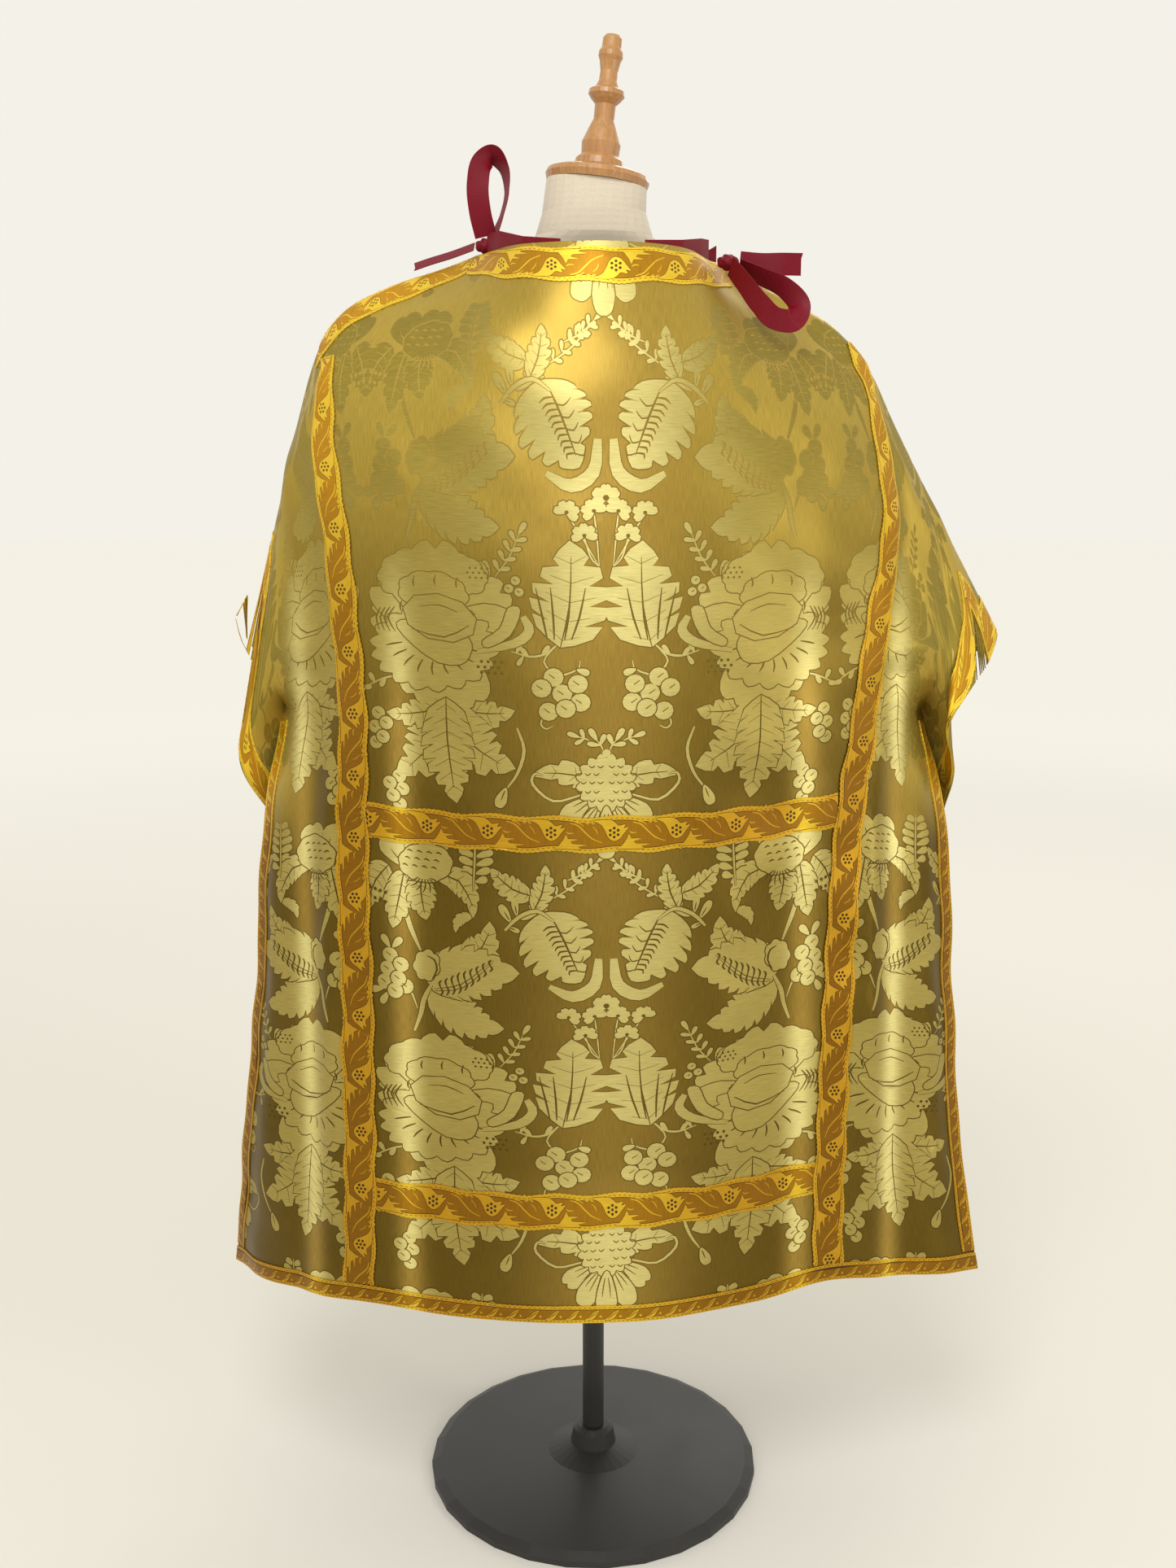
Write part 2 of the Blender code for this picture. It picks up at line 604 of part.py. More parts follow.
def make_ribbon(name, path):
    """A flat ribbon swept along a path, turned round it by the angle that each point gives."""
    centres = [Vector(point[:3]) for point in path]
    steps = (len(path) - 1) * 3
    mesh = bmesh.new()
    rings = []
    for i in range(steps + 1):
        t = i * (len(path) - 1) / steps
        here = on_curve(centres, t)
        ahead = on_curve(centres, min(t + MARCH_STEP, len(path) - 1))
        behind = on_curve(centres, max(t - MARCH_STEP, 0))
        tangent = (ahead - behind).normalized()
        k = min(int(t), len(path) - 2)
        angle = math.radians(path[k][3] + (path[k + 1][3] - path[k][3]) * (t - k))
        across = Matrix.Rotation(angle, 3, tangent) @ tangent.cross(Vector((0, 1, 0))).normalized()
        face = tangent.cross(across)
        half_width, half_thick = across * RIBBON_WIDTH / 2, face * RIBBON_THICK / 2
        signs = ((1, 1), (-1, 1), (-1, -1), (1, -1))
        rings.append([mesh.verts.new(here + half_width * a + half_thick * b) for a, b in signs])
    close_rings(mesh, rings)
    return placed(name, mesh, "ribbon")


def make_strand(lattice, side):
    """The stretch of a tie that runs inside the neck edge, from its seam up to the knot."""
    face = "front" if lattice.net.front else "back"
    edge = [lattice.points[0][lattice.column_of[f"{side} {name}"]] for name in STRAND_COLUMNS]
    edge[0] = edge[0].lerp(edge[1], STRAND_START[f"{face} {side}"])
    turns = [(b - a).cross(Vector((0.0, 0.0, 1.0))).normalized() for a, b in zip(edge, edge[1:])]
    mesh = bmesh.new()
    rings = []
    for i, (point, rise) in enumerate(zip(edge, STRAND_RISE)):
        inward = (turns[max(i - 1, 0)] + turns[min(i, len(turns) - 1)]).normalized()
        if inward.dot(point) > 0.0:
            inward = -inward
        foot = point + Vector((0.0, 0.0, rise - RIBBON_WIDTH / 2))
        near, far = inward * SEAM_GAP, inward * (SEAM_GAP + RIBBON_THICK)
        up = Vector((0.0, 0.0, RIBBON_WIDTH))
        rings.append([mesh.verts.new(foot + p) for p in (near, near + up, far + up, far)])
    close_rings(mesh, rings)
    return placed(f"tie_strand_{face}_{side}", mesh, "ribbon")


def close_rings(mesh, rings):
    """Join rings of points into a closed tube with flat ends."""
    for low, high in zip(rings, rings[1:]):
        for i in range(len(low)):
            j = (i + 1) % len(low)
            mesh.faces.new((low[i], low[j], high[j], high[i]))
    mesh.faces.new(list(reversed(rings[0])))
    mesh.faces.new(rings[-1])
    bmesh.ops.recalc_face_normals(mesh, faces=mesh.faces)


def make_ties():
    """The crimson ties: a knot at each shoulder, with its loop, tail and two strands."""
    for name, path in TIE_PATHS.items():
        make_ribbon(name, path)
    for name, centre in TIE_KNOTS.items():
        mesh = bmesh.new()
        bmesh.ops.create_uvsphere(mesh, u_segments=12, v_segments=8, radius=1.0)
        bmesh.ops.scale(mesh, vec=KNOT_HALF_SIZES, verts=mesh.verts)
        bmesh.ops.translate(mesh, vec=centre, verts=mesh.verts)
        placed(name, mesh, "ribbon")


def leaned(point):
    """A point of the neck, leant to the right by the form's loose top."""
    turn = Matrix.Rotation(NECK_LEAN, 3, "Y")
    return NECK_PIVOT + turn @ (point - NECK_PIVOT)


def make_torso():
    """The padded torso, level rings from the hip to the neck, the last two leant with the neck."""
    mesh = bmesh.new()
    rings = []
    for ring in TORSO_RINGS:
        points = []
        for i in range(RING_SIDES):
            angle = 2 * math.pi * i / RING_SIDES
            cosine, sine = math.cos(angle), math.sin(angle)
            x = ring.half_width * math.copysign(abs(cosine) ** (2 / ROUNDNESS), cosine)
            y = ring.half_depth * math.copysign(abs(sine) ** (2 / ROUNDNESS), sine)
            point = Vector((x, y, ring.z))
            points.append(mesh.verts.new(leaned(point) if ring.z > NECK_PIVOT.z else point))
        rings.append(points)
    close_rings(mesh, rings)
    placed("form_torso", mesh, "form_cloth")


def make_turned(name, profile, foot, material, lean=False):
    """A turned piece from its half profile, which runs down its outer side."""
    data = bpy.data.meshes.new(name)
    data.from_pydata(
        [(radius, 0.0, height) for radius, height in profile],
        [(i, i + 1) for i in range(len(profile) - 1)],
        [],
    )
    guide = bpy.data.objects.new(name, data)
    bpy.data.collections["dalmatic"].objects.link(guide)
    guide.location = leaned(Vector(foot)) if lean else foot
    guide.rotation_euler.y = NECK_LEAN if lean else 0.0
    data.materials.append(bpy.data.materials[material])
    turning = guide.modifiers.new("Screw", "SCREW")
    turning.steps = turning.render_steps = TURNED_STEPS
    turning.use_merge_vertices = True
    turning.merge_threshold = 0.00001
    turning.use_smooth_shade = True
    return guide


def make_form():
    """Torso, neck cap, finial, pole and round foot."""
    make_torso()
    cap_foot = TORSO_RINGS[-1].z + SEAM_GAP
    make_turned("form_neck_cap", CAP_PROFILE, (0.0, 0.0, cap_foot), "oak", lean=True)
    finial_foot = cap_foot + CAP_PROFILE[0][1] + SEAM_GAP
    make_turned("form_finial", FINIAL_PROFILE, (0.0, 0.0, finial_foot), "oak", lean=True)
    pole = ((0.0, POLE_TOP), (POLE_RADIUS, POLE_TOP), (POLE_RADIUS, POLE_BOTTOM), (0.0, POLE_BOTTOM))
    make_turned("form_pole", pole, (0.0, 0.0, 0.0), "painted_steel")
    make_turned("form_base", BASE_PROFILE, (0.0, 0.0, 0.0), "painted_steel")


def main():
    """Clear the scene and build the garment and its form."""
    for thing in list(bpy.data.objects):
        bpy.data.objects.remove(thing, do_unlink=True)
    collection = bpy.data.collections.new("dalmatic")
    bpy.context.scene.collection.children.link(collection)
    make_materials()
    for front in (False, True):
        lattice = Lattice(Net(front))
        make_cloth(lattice)
        make_galloons(lattice)
        for side in ("left", "right"):
            make_strand(lattice, side)
    make_ties()
    make_form()


if __name__ == "__main__":
    main()
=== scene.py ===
"""Looks of a Roman dalmatic of gold damask, edged with woven braid, on a limbless dress form.

Metres, +Z up. The back of the garment faces -Y. Every cloth lies on one smooth surface for the back
and one for the front, and is cut in that surface's flat coordinates, so the figured pattern is
charted flat, as a weaver charts it, and then hangs with the cloth.
"""

import logging
import math
from dataclasses import dataclass
from enum import Enum, IntEnum
from typing import Callable, NamedTuple

import bmesh
import bpy
import numpy as np
from mathutils import Matrix, Vector
from mathutils.bvhtree import BVHTree
from mathutils.geometry import delaunay_2d_cdt


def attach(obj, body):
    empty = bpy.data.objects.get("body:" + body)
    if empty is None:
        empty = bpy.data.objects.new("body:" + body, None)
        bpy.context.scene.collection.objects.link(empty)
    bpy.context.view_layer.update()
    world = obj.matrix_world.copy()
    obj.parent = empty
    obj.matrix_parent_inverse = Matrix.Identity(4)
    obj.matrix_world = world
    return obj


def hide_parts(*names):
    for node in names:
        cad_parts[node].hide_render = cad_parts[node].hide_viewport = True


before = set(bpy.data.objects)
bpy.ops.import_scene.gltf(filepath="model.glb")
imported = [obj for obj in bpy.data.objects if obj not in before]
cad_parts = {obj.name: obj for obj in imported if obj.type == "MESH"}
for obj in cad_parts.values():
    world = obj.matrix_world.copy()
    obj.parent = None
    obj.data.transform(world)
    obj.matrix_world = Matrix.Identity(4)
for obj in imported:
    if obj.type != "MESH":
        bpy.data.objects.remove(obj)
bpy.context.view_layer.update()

LOG = logging.getLogger("dalmatic")
Array = np.ndarray
Placer = Callable[[Array], tuple[Array, Array]]

# A piece is named for the CAD node that it stands for, with this before it.
SEWN = "sewn_"
MM = 0.001
MM_IN_M = 1000
# A length below this counts as none.
TINY = 1e-9

# Cloth and trim, in metres, as in the part's source.
WALL = 0.0016
WIDE_GALLOON = 0.045
NARROW_GALLOON = 0.022
NECK_SLIVER = 0.10
RIBBON_WIDTH = 0.025
RIBBON_THICK = 0.0010
SEAM_GAP = 0.0003
SLIT_SPREAD = 0.08
FRONT_FULLNESS = 0.93
FRONT_NECK_DROP = 0.045
CREASE_ROWS = 2.0

# The centre line from the ridge to the hem, as y and z.
CENTRE_ROWS = (
    (-0.118, 1.543), (-0.136, 1.494), (-0.163, 1.390), (-0.178, 1.270), (-0.186, 1.150),
    (-0.190, 1.030), (-0.191, 0.903), (-0.197, 0.680), (-0.205, 0.458), (-0.210, 0.322),
)
# Each row: band seam, middle and slit edge, and above the slits the cuff edge.
LEFT_ROWS = (
    ((-0.300, 0.000, 1.465), (-0.349, 0.000, 1.340), (-0.386, 0.000, 1.200), (-0.424, 0.000, 1.129)),
    ((-0.303, -0.034, 1.426), (-0.354, -0.030, 1.302), (-0.393, -0.022, 1.166), (-0.417, -0.016, 1.106)),
    ((-0.311, -0.062, 1.355), (-0.356, -0.052, 1.243), (-0.394, -0.038, 1.131), (-0.406, -0.022, 1.082)),
    ((-0.301, -0.092, 1.262), (-0.350, -0.072, 1.176), (-0.389, -0.048, 1.096), (-0.411, -0.016, 1.040)),
    ((-0.289, -0.112, 1.147), (-0.340, -0.083, 1.100), (-0.380, -0.043, 1.060), (-0.426, -0.010, 0.955)),
    ((-0.281, -0.128, 1.027), (-0.328, -0.087, 1.024), (-0.371, 0.000, 1.024), (-0.388, 0.000, 0.882)),
    ((-0.284, -0.138, 0.913), (-0.342, -0.101, 0.906), (-0.395, -0.038, 0.892)),
    ((-0.283, -0.147, 0.686), (-0.352, -0.106, 0.683), (-0.415, -0.026, 0.680)),
    ((-0.286, -0.153, 0.467), (-0.366, -0.106, 0.462), (-0.443, -0.004, 0.452)),
    ((-0.291, -0.156, 0.331), (-0.378, -0.105, 0.322), (-0.461, 0.020, 0.298)),
)
RIGHT_ROWS = (
    ((0.305, 0.000, 1.444), (0.373, 0.000, 1.326), (0.432, 0.000, 1.220), (0.496, 0.000, 1.106)),
    ((0.318, -0.026, 1.402), (0.379, -0.030, 1.286), (0.434, -0.028, 1.182), (0.476, -0.034, 1.072)),
    ((0.333, -0.052, 1.327), (0.384, -0.050, 1.226), (0.431, -0.044, 1.141), (0.450, -0.058, 1.046)),
    ((0.341, -0.078, 1.236), (0.381, -0.068, 1.162), (0.422, -0.058, 1.100), (0.420, -0.076, 1.003)),
    ((0.323, -0.101, 1.131), (0.368, -0.088, 1.091), (0.411, -0.056, 1.058), (0.436, -0.052, 0.945)),
    ((0.305, -0.120, 1.020), (0.356, -0.089, 1.015), (0.403, 0.000, 1.013), (0.442, 0.000, 0.887)),
    ((0.289, -0.131, 0.916), (0.352, -0.101, 0.905), (0.426, -0.045, 0.888)),
    ((0.277, -0.147, 0.690), (0.358, -0.120, 0.686), (0.440, -0.062, 0.682)),
    ((0.272, -0.156, 0.474), (0.367, -0.128, 0.466), (0.457, -0.080, 0.460)),
    ((0.270, -0.164, 0.340), (0.374, -0.140, 0.328), (0.476, -0.105, 0.316)),
)
# The nape and the corner of the neck opening, on the ridge row and on the yoke row below it.
NAPES = {
    -1: ((-0.078, -0.088, 1.544), (-0.084, -0.112, 1.500)),
    1: ((0.084, -0.088, 1.542), (0.092, -0.110, 1.494)),
}
NECKS = {
    -1: ((-0.131, 0.000, 1.542), (-0.141, -0.045, 1.512)),
    1: ((0.146, 0.000, 1.536), (0.152, -0.040, 1.502)),
}
# Rows of the net run down the garment, and its columns out from the middle, left ones below zero.
RIDGE_ROW, YOKE_ROW, UNDERARM_ROW, UPPER_BAR_ROW, LOWER_BAR_ROW, HEM_ROW = 0.0, 1.0, 5.0, 6.0, 8.0, 9.0
SLIT_TRIM_ROW = 5.14
NECK_COLUMN, BAND_COLUMN, SLIT_COLUMN, CUFF_COLUMN = 2, 3, 5, 6


class Fold(NamedTuple):
    """A soft trough or ridge, in the surface's own columns and rows; height in metres."""

    column: float
    row: float
    half_column: float
    half_row: float
    lean: float
    height: float


# Main creases, as in the part's source.
MAIN_FOLDS = (
    Fold(-0.1, 7.84, 2.8, 0.14, 0.02, -0.006),
    Fold(-0.2, 7.55, 2.6, 0.20, 0.02, 0.004),
    Fold(-3.95, 7.6, 0.30, 2.2, 0.0, -0.012),
    Fold(4.00, 7.8, 0.28, 2.0, 0.0, -0.010),
    Fold(-2.25, 7.6, 0.65, 2.2, 0.0, -0.005),
    Fold(2.20, 7.4, 0.65, 2.4, 0.0, -0.005),
    Fold(3.45, 3.1, 0.35, 1.4, 0.0, -0.008),
    Fold(-3.55, 3.4, 0.35, 1.5, 0.0, -0.007),
)
# Finer folds placed from the photograph, and their like on the front.
BACK_FOLDS = (
    Fold(-1.9, 1.75, 0.45, 0.30, 0.30, -0.0032),
    Fold(-1.6, 1.35, 0.60, 0.22, 0.25, 0.0026),
    Fold(-2.3, 2.6, 0.30, 0.90, 0.25, 0.0030),
    Fold(2.35, 2.3, 0.26, 1.10, -0.25, 0.0034),
    Fold(2.05, 3.0, 0.22, 0.80, -0.20, -0.0024),
    Fold(0.2, 5.55, 2.2, 0.13, 0.02, -0.0022),
    Fold(-0.4, 6.50, 2.4, 0.20, -0.03, 0.0024),
    Fold(1.2, 6.62, 1.2, 0.16, 0.05, -0.0022),
    Fold(-2.55, 6.9, 0.20, 1.3, 0.03, 0.0028),
    Fold(2.60, 7.0, 0.20, 1.4, -0.02, 0.0030),
    Fold(-1.2, 7.1, 0.30, 0.9, 0.06, 0.0018),
    Fold(1.35, 7.2, 0.32, 0.8, -0.05, 0.0020),
    Fold(0.4, 8.35, 1.9, 0.16, 0.02, 0.0022),
    Fold(-3.45, 6.6, 0.16, 1.6, 0.02, 0.0044),
    Fold(3.50, 6.7, 0.15, 1.5, 0.02, 0.0046),
    Fold(4.55, 7.2, 0.18, 1.7, 0.02, 0.0050),
    Fold(-4.55, 7.3, 0.18, 1.7, 0.0, 0.0048),
    Fold(3.9, 4.35, 0.60, 0.20, -0.35, -0.0050),
    Fold(4.3, 3.75, 0.55, 0.20, -0.45, 0.0045),
    Fold(-4.0, 4.40, 0.60, 0.20, 0.35, -0.0046),
    Fold(-4.3, 3.80, 0.55, 0.20, 0.45, 0.0040),
    Fold(4.6, 1.6, 0.28, 0.9, 0.2, -0.0040),
    Fold(-4.6, 1.7, 0.28, 0.9, -0.2, -0.0036),
)
FRONT_FOLDS = (
    Fold(1.7, 1.70, 0.50, 0.28, -0.28, -0.0030),
    Fold(-1.9, 1.95, 0.45, 0.26, 0.30, -0.0028),
    Fold(2.3, 2.7, 0.28, 0.95, -0.22, 0.0030),
    Fold(-2.3, 2.4, 0.28, 1.00, 0.22, 0.0030),
    Fold(0.1, 5.45, 2.1, 0.14, 0.03, -0.0022),
    Fold(0.5, 6.55, 2.3, 0.20, 0.02, 0.0024),
    Fold(-1.1, 6.75, 1.1, 0.16, -0.04, -0.0022),
    Fold(2.55, 6.8, 0.22, 1.4, -0.03, 0.0028),
    Fold(-2.60, 7.1, 0.20, 1.3, 0.03, 0.0028),
    Fold(1.2, 7.0, 0.30, 0.9, -0.05, 0.0018),
    Fold(-1.3, 7.3, 0.32, 0.8, 0.05, 0.0019),
    Fold(3.45, 6.7, 0.16, 1.6, -0.02, 0.0044),
    Fold(-3.50, 6.6, 0.15, 1.5, -0.02, 0.0044),
    Fold(-4.55, 7.2, 0.18, 1.7, 0.0, 0.0048),
    Fold(4.55, 7.3, 0.18, 1.7, 0.0, 0.0048),
    Fold(-3.9, 4.35, 0.60, 0.20, 0.35, -0.0048),
    Fold(4.0, 4.40, 0.60, 0.20, -0.35, -0.0046),
    Fold(-4.3, 3.75, 0.55, 0.20, 0.45, 0.0042),
    Fold(4.3, 3.80, 0.55, 0.20, -0.45, 0.0040),
)


class Sheet(Enum):
    """The two sheets of the garment."""

    BACK = "back"
    FRONT = "front"


class Thread(IntEnum):
    """What a spot of woven cloth shows, which is also its material slot on the piece."""

    REVERSE = 0
    GROUND = 1
    FIGURE = 2
    LINE = 3


def unit(vectors: Array) -> Array:
    """The same directions with length 1; their parts lie along the last axis."""
    return vectors / np.maximum(np.linalg.norm(vectors, axis=-1, keepdims=True), TINY)


def crossed(a: Array, b: Array) -> Array:
    """Cross products of flat vectors, each (m, 2); above zero where b lies to the left of a."""
    return a[:, 0] * b[:, 1] - a[:, 1] * b[:, 0]


def slopes(points: Array) -> Array:
    """Slopes of smooth curves at their points.

    Args:
        points: shape (..., n, 3).

    Returns:
        Slopes of the same shape, weighted so that close points do not overshoot.
    """
    steps = np.diff(points, axis=-2)
    chords = np.linalg.norm(steps, axis=-1, keepdims=True)
    steps = steps / chords
    before, after = chords[..., :-1, :], chords[..., 1:, :]
    inner = (steps[..., :-1, :] * after + steps[..., 1:, :] * before) / (before + after)
    return np.concatenate([steps[..., :1, :], inner, steps[..., -1:, :]], axis=-2)


def hermite(a: Array, b: Array, slope_a: Array, slope_b: Array, t: Array) -> Array:
    """Points at t of the cubics that leave a and meet b with the given slopes.

    Args:
        a: start points. b: end points. slope_a, slope_b: unit-speed slopes. t: 0 to 1, last axis 1.

    Returns:
        The points.
    """
    chord = np.linalg.norm(b - a, axis=-1, keepdims=True)
    square, cube = t * t, t * t * t
    return (
        a * (2 * cube - 3 * square + 1)
        + b * (3 * square - 2 * cube)
        + slope_a * (chord * (cube - 2 * square + t))
        + slope_b * (chord * (cube - square))
    )


def on_curve(points: Array, t: Array) -> Array:
    """Points of the smooth curve through some points, which lie at t = 0, 1, 2 and so on.

    Args:
        points: shape (n, 3). t: shape (m,).

    Returns:
        Shape (m, 3).
    """
    slope = slopes(points)
    i = np.clip(t.astype(int), 0, len(points) - 2)
    return hermite(points[i], points[i + 1], slope[i], slope[i + 1], (t - i)[:, None])


class Net:
    """The control points of one sheet, as in the part's source."""

    def __init__(self, sheet: Sheet) -> None:
        """Set the points of every column.

        Args:
            sheet: which sheet of the garment.
        """
        self.front = sheet is Sheet.FRONT
        centre = [np.array((0.0, y, z)) for y, z in CENTRE_ROWS]
        self.columns: dict[int, Array] = {0: np.array([self.dropped(p, i) for i, p in enumerate(centre)])}
        for sign, rows in ((-1, LEFT_ROWS), (1, RIGHT_ROWS)):
            band = np.array([self.turned(row[0]) for row in rows])
            corner_rows = len(NECKS[sign])
            napes = [self.dropped(np.array(p), i) for i, p in enumerate(NAPES[sign])]
            corners = [self.turned(p) for p in NECKS[sign]]
            lower = list(zip(self.columns[0], band))[corner_rows:]
            self.columns[sign] = np.array(napes + [self.inset(a, b, 1 / 3) for a, b in lower])
            self.columns[sign * NECK_COLUMN] = np.array(corners + [self.inset(a, b, 2 / 3) for a, b in lower])
            self.columns[sign * BAND_COLUMN] = band
            self.columns[sign * (BAND_COLUMN + 1)] = np.array([self.turned(row[1]) for row in rows])
            edge = [self.slit_edge(row[2], i) for i, row in enumerate(rows)]
            self.columns[sign * SLIT_COLUMN] = np.array(edge)
            self.columns[sign * CUFF_COLUMN] = np.array([self.turned(row[3]) for row in rows if len(row) > 3])

    def turned(self, point: tuple) -> Array:
        """A point of the back as it lies on this sheet."""
        return np.array((point[0], -point[1] if self.front else point[1], point[2]))

    def dropped(self, point: Array, row: int) -> Array:
        """A point near the centre: the front is flatter and its neck is cut lower.

        Args:
            point: on the back. row: its row.

        Returns:
            The point on this sheet.
        """
        if not self.front:
            return point
        centred = 1 - (point[0] / NECKS[-1][0][0]) ** 2
        drop = FRONT_NECK_DROP * centred * max(0.0, min(1.0, (3 - row) / 2))
        return np.array((point[0], -point[1] * FRONT_FULLNESS, point[2] - drop))

    def slit_edge(self, point: tuple, row: int) -> Array:
        """The side edge, where the front stands off the back by more towards the hem.

        Args:
            point: on the back. row: its row.

        Returns:
            The point on this sheet.
        """
        if not self.front:
            return np.array(point)
        fall = max(0.0, (row - UNDERARM_ROW) / (HEM_ROW - UNDERARM_ROW))
        return np.array((point[0], max(-point[1], point[1] + SLIT_SPREAD * fall), point[2]))

    def inset(self, centre: Array, band: Array, part_way: float) -> Array:
        """Part of the way from the centre line to the band, on a rounded back."""
        bend = part_way * part_way
        return centre + (band - centre) * np.array((part_way, bend, bend))

    def down(self, column: int, rows: Array) -> Array:
        """Points of a control column at some rows.

        Args:
            column: which. rows: all above or all below the underarm row.

        Returns:
            Shape (rows, 3).
        """
        points = self.columns[column]
        upper = int(UNDERARM_ROW)
        if abs(column) == SLIT_COLUMN and rows[0] > UNDERARM_ROW:
            return on_curve(points[upper:], rows - UNDERARM_ROW)
        if abs(column) == SLIT_COLUMN:
            points = points[: upper + 1]
        if column == 0:
            return on_curve(points, rows)
        phantom = points[1] * np.array((1.0, -1.0, 1.0))
        return on_curve(np.vstack([phantom, points]), rows + 1)

    def crease(self, column: Array, rows: Array) -> Array:
        """How sharp the cloth bends at the neck's corners and above the slits.

        Args:
            column: control columns, without sign. rows: shape (m, 1).

        Returns:
            0 for smooth to 1 for sharp, at each row and column.
        """
        at_neck = (column == NECK_COLUMN) * np.clip(1 - rows / CREASE_ROWS, 0, 1)
        above = np.clip(rows - (UNDERARM_ROW - 1), 0, 1) * (rows <= UNDERARM_ROW)
        return at_neck + (column == SLIT_COLUMN) * above

    def grid(self, rows: Array, columns: Array) -> Array:
        """Points of the surface before folds.

        Args:
            rows: all above or all below the underarm row. columns: net columns.

        Returns:
            Shape (rows, columns, 3).
        """
        last = CUFF_COLUMN if rows[0] <= UNDERARM_ROW else SLIT_COLUMN
        points = np.stack([self.down(k, rows) for k in range(-last, last + 1)], axis=1)
        slope = slopes(points)
        place = np.clip(columns + last, 0, 2 * last)
        i = np.clip(place.astype(int), 0, 2 * last - 1)
        a, b = points[:, i], points[:, i + 1]
        straight = unit(b - a)
        sharp_a = self.crease(np.abs(i - last)[None, :], rows[:, None])[..., None]
        sharp_b = self.crease(np.abs(i + 1 - last)[None, :], rows[:, None])[..., None]
        leave = slope[:, i] * (1 - sharp_a) + straight * sharp_a
        meet = slope[:, i + 1] * (1 - sharp_b) + straight * sharp_b
        return hermite(a, b, leave, meet, (place - i)[None, :, None])


class Surface:
    """One sheet of the garment as a dense surface with flat coordinates.

    Flat u is the length along a row from the centre line, and flat v the length up a column from
    the upper bar's row. Both are in metres.
    """

    STEP = 0.05
    RIPPLE = 0.0007
    # Direction in radians, wavelength in metres and phase of each faint ripple.
    RIPPLES = ((0.3, 0.21, 0.4), (1.35, 0.16, 2.1), (2.2, 0.11, 4.4), (0.9, 0.083, 1.2))
    # The folds grow over this many rows from the ridge, but keep this share at the open neck.
    RIDGE_FADE, NECK_SHARE = 0.35, 0.6
    # Rows and columns over which they die away round the underarm, and where that ends.
    UNDERARM_FADE, UNDERARM_PAST = 0.5, 0.25
    SLIT_FADE, SLIT_PAST = 0.6, 0.35

    def __init__(self, sheet: Sheet) -> None:
        """Lay out the sheet with its folds.

        Args:
            sheet: which sheet of the garment.
        """
        self.face = sheet.value
        self.front = sheet is Sheet.FRONT
        net = Net(sheet)
        count = round(1 / self.STEP)
        self.rows = np.arange(0, int(HEM_ROW) * count + 1) / count
        self.columns = np.arange(-CUFF_COLUMN * count, CUFF_COLUMN * count + 1) / count
        upper = self.rows <= UNDERARM_ROW
        points = np.full((len(self.rows), len(self.columns), 3), np.nan)
        points[upper] = net.grid(self.rows[upper], self.columns)
        inside = np.abs(self.columns) <= SLIT_COLUMN
        points[np.ix_(~upper, inside)] = net.grid(self.rows[~upper], self.columns[inside])
        self.measure(points)
        normals = self.normals_of(points)
        heights = self.heights(sheet)
        points = points + normals * heights[..., None]
        self.seam(points)
        self.points = points
        self.normals = self.normals_of(points)
        self.hang_tree()

    def measure(self, points: Array) -> None:
        """Work out the flat coordinates of every point of the grid.

        Args:
            points: the surface before folds, with nan beside the slits.
        """
        centre = len(self.columns) // 2
        along = np.linalg.norm(np.diff(points, axis=1), axis=-1)
        u = np.zeros(points.shape[:2])
        u[:, centre + 1:] = np.cumsum(along[:, centre:], axis=1)
        u[:, :centre] = -np.cumsum(along[:, :centre][:, ::-1], axis=1)[:, ::-1]
        down = np.linalg.norm(np.diff(points, axis=0), axis=-1)
        v = np.vstack([np.zeros((1, down.shape[1])), -np.cumsum(np.nan_to_num(down), axis=0)])
        bar = round(UPPER_BAR_ROW / self.STEP)
        v = v - v[bar]
        tongue = np.abs(self.columns) > SLIT_COLUMN
        under = round(UNDERARM_ROW / self.STEP)
        for sign in (-1, 1):
            side = tongue & (np.sign(self.columns) == sign)
            edge = centre + sign * round(SLIT_COLUMN / self.STEP)
            v[:, side] += v[under, edge] - v[under, side]
        v[np.isnan(points[..., 0])] = np.nan
        self.u, self.v = u, v

    def heights(self, sheet: Sheet) -> Array:
        """How far the folds and the cloth's faint ripple lift every point of the grid.

        Args:
            sheet: which sheet of the garment.

        Returns:
            Metres, shape (rows, columns).
        """
        row, column = self.rows[:, None], self.columns[None, :]
        total = np.zeros((len(self.rows), len(self.columns)))
        finer = BACK_FOLDS if sheet is Sheet.BACK else FRONT_FOLDS
        for fold in MAIN_FOLDS + finer:
            across = (column - fold.column - fold.lean * (row - fold.row)) / fold.half_column
            along = (row - fold.row - fold.lean * (column - fold.column)) / fold.half_row
            total += fold.height * np.exp(-across * across - along * along)
        u, v = np.nan_to_num(self.u), np.nan_to_num(self.v)
        for turn, wave, phase in self.RIPPLES:
            along = u * math.cos(turn) + v * math.sin(turn)
            total += self.RIPPLE * np.sin(along * 2 * math.pi / wave + phase)
        # The folds die away at the seams where back and front meet.
        ridge = np.clip(row / self.RIDGE_FADE, 0, 1)
        open_neck = np.abs(column) < NECK_COLUMN
        total *= np.where(open_neck, np.maximum(ridge, self.NECK_SHARE), ridge)
        under = np.clip((UNDERARM_ROW + self.UNDERARM_PAST - row) / self.UNDERARM_FADE, 0, 1)
        near_slit = np.clip((SLIT_COLUMN + self.SLIT_PAST - np.abs(column)) / self.SLIT_FADE, 0, 1)
        total *= 1 - under * (1 - near_slit)
        return total

    def seam(self, points: Array) -> None:
        """Keep this sheet half a gap off the plane where back and front meet, above the slits.

        Args:
            points: the surface, changed in place.
        """
        upper = self.rows <= UNDERARM_ROW
        y = points[upper, :, 1]
        half = SEAM_GAP / 2
        points[upper, :, 1] = np.fmax(y, half) if self.front else np.fmin(y, -half)

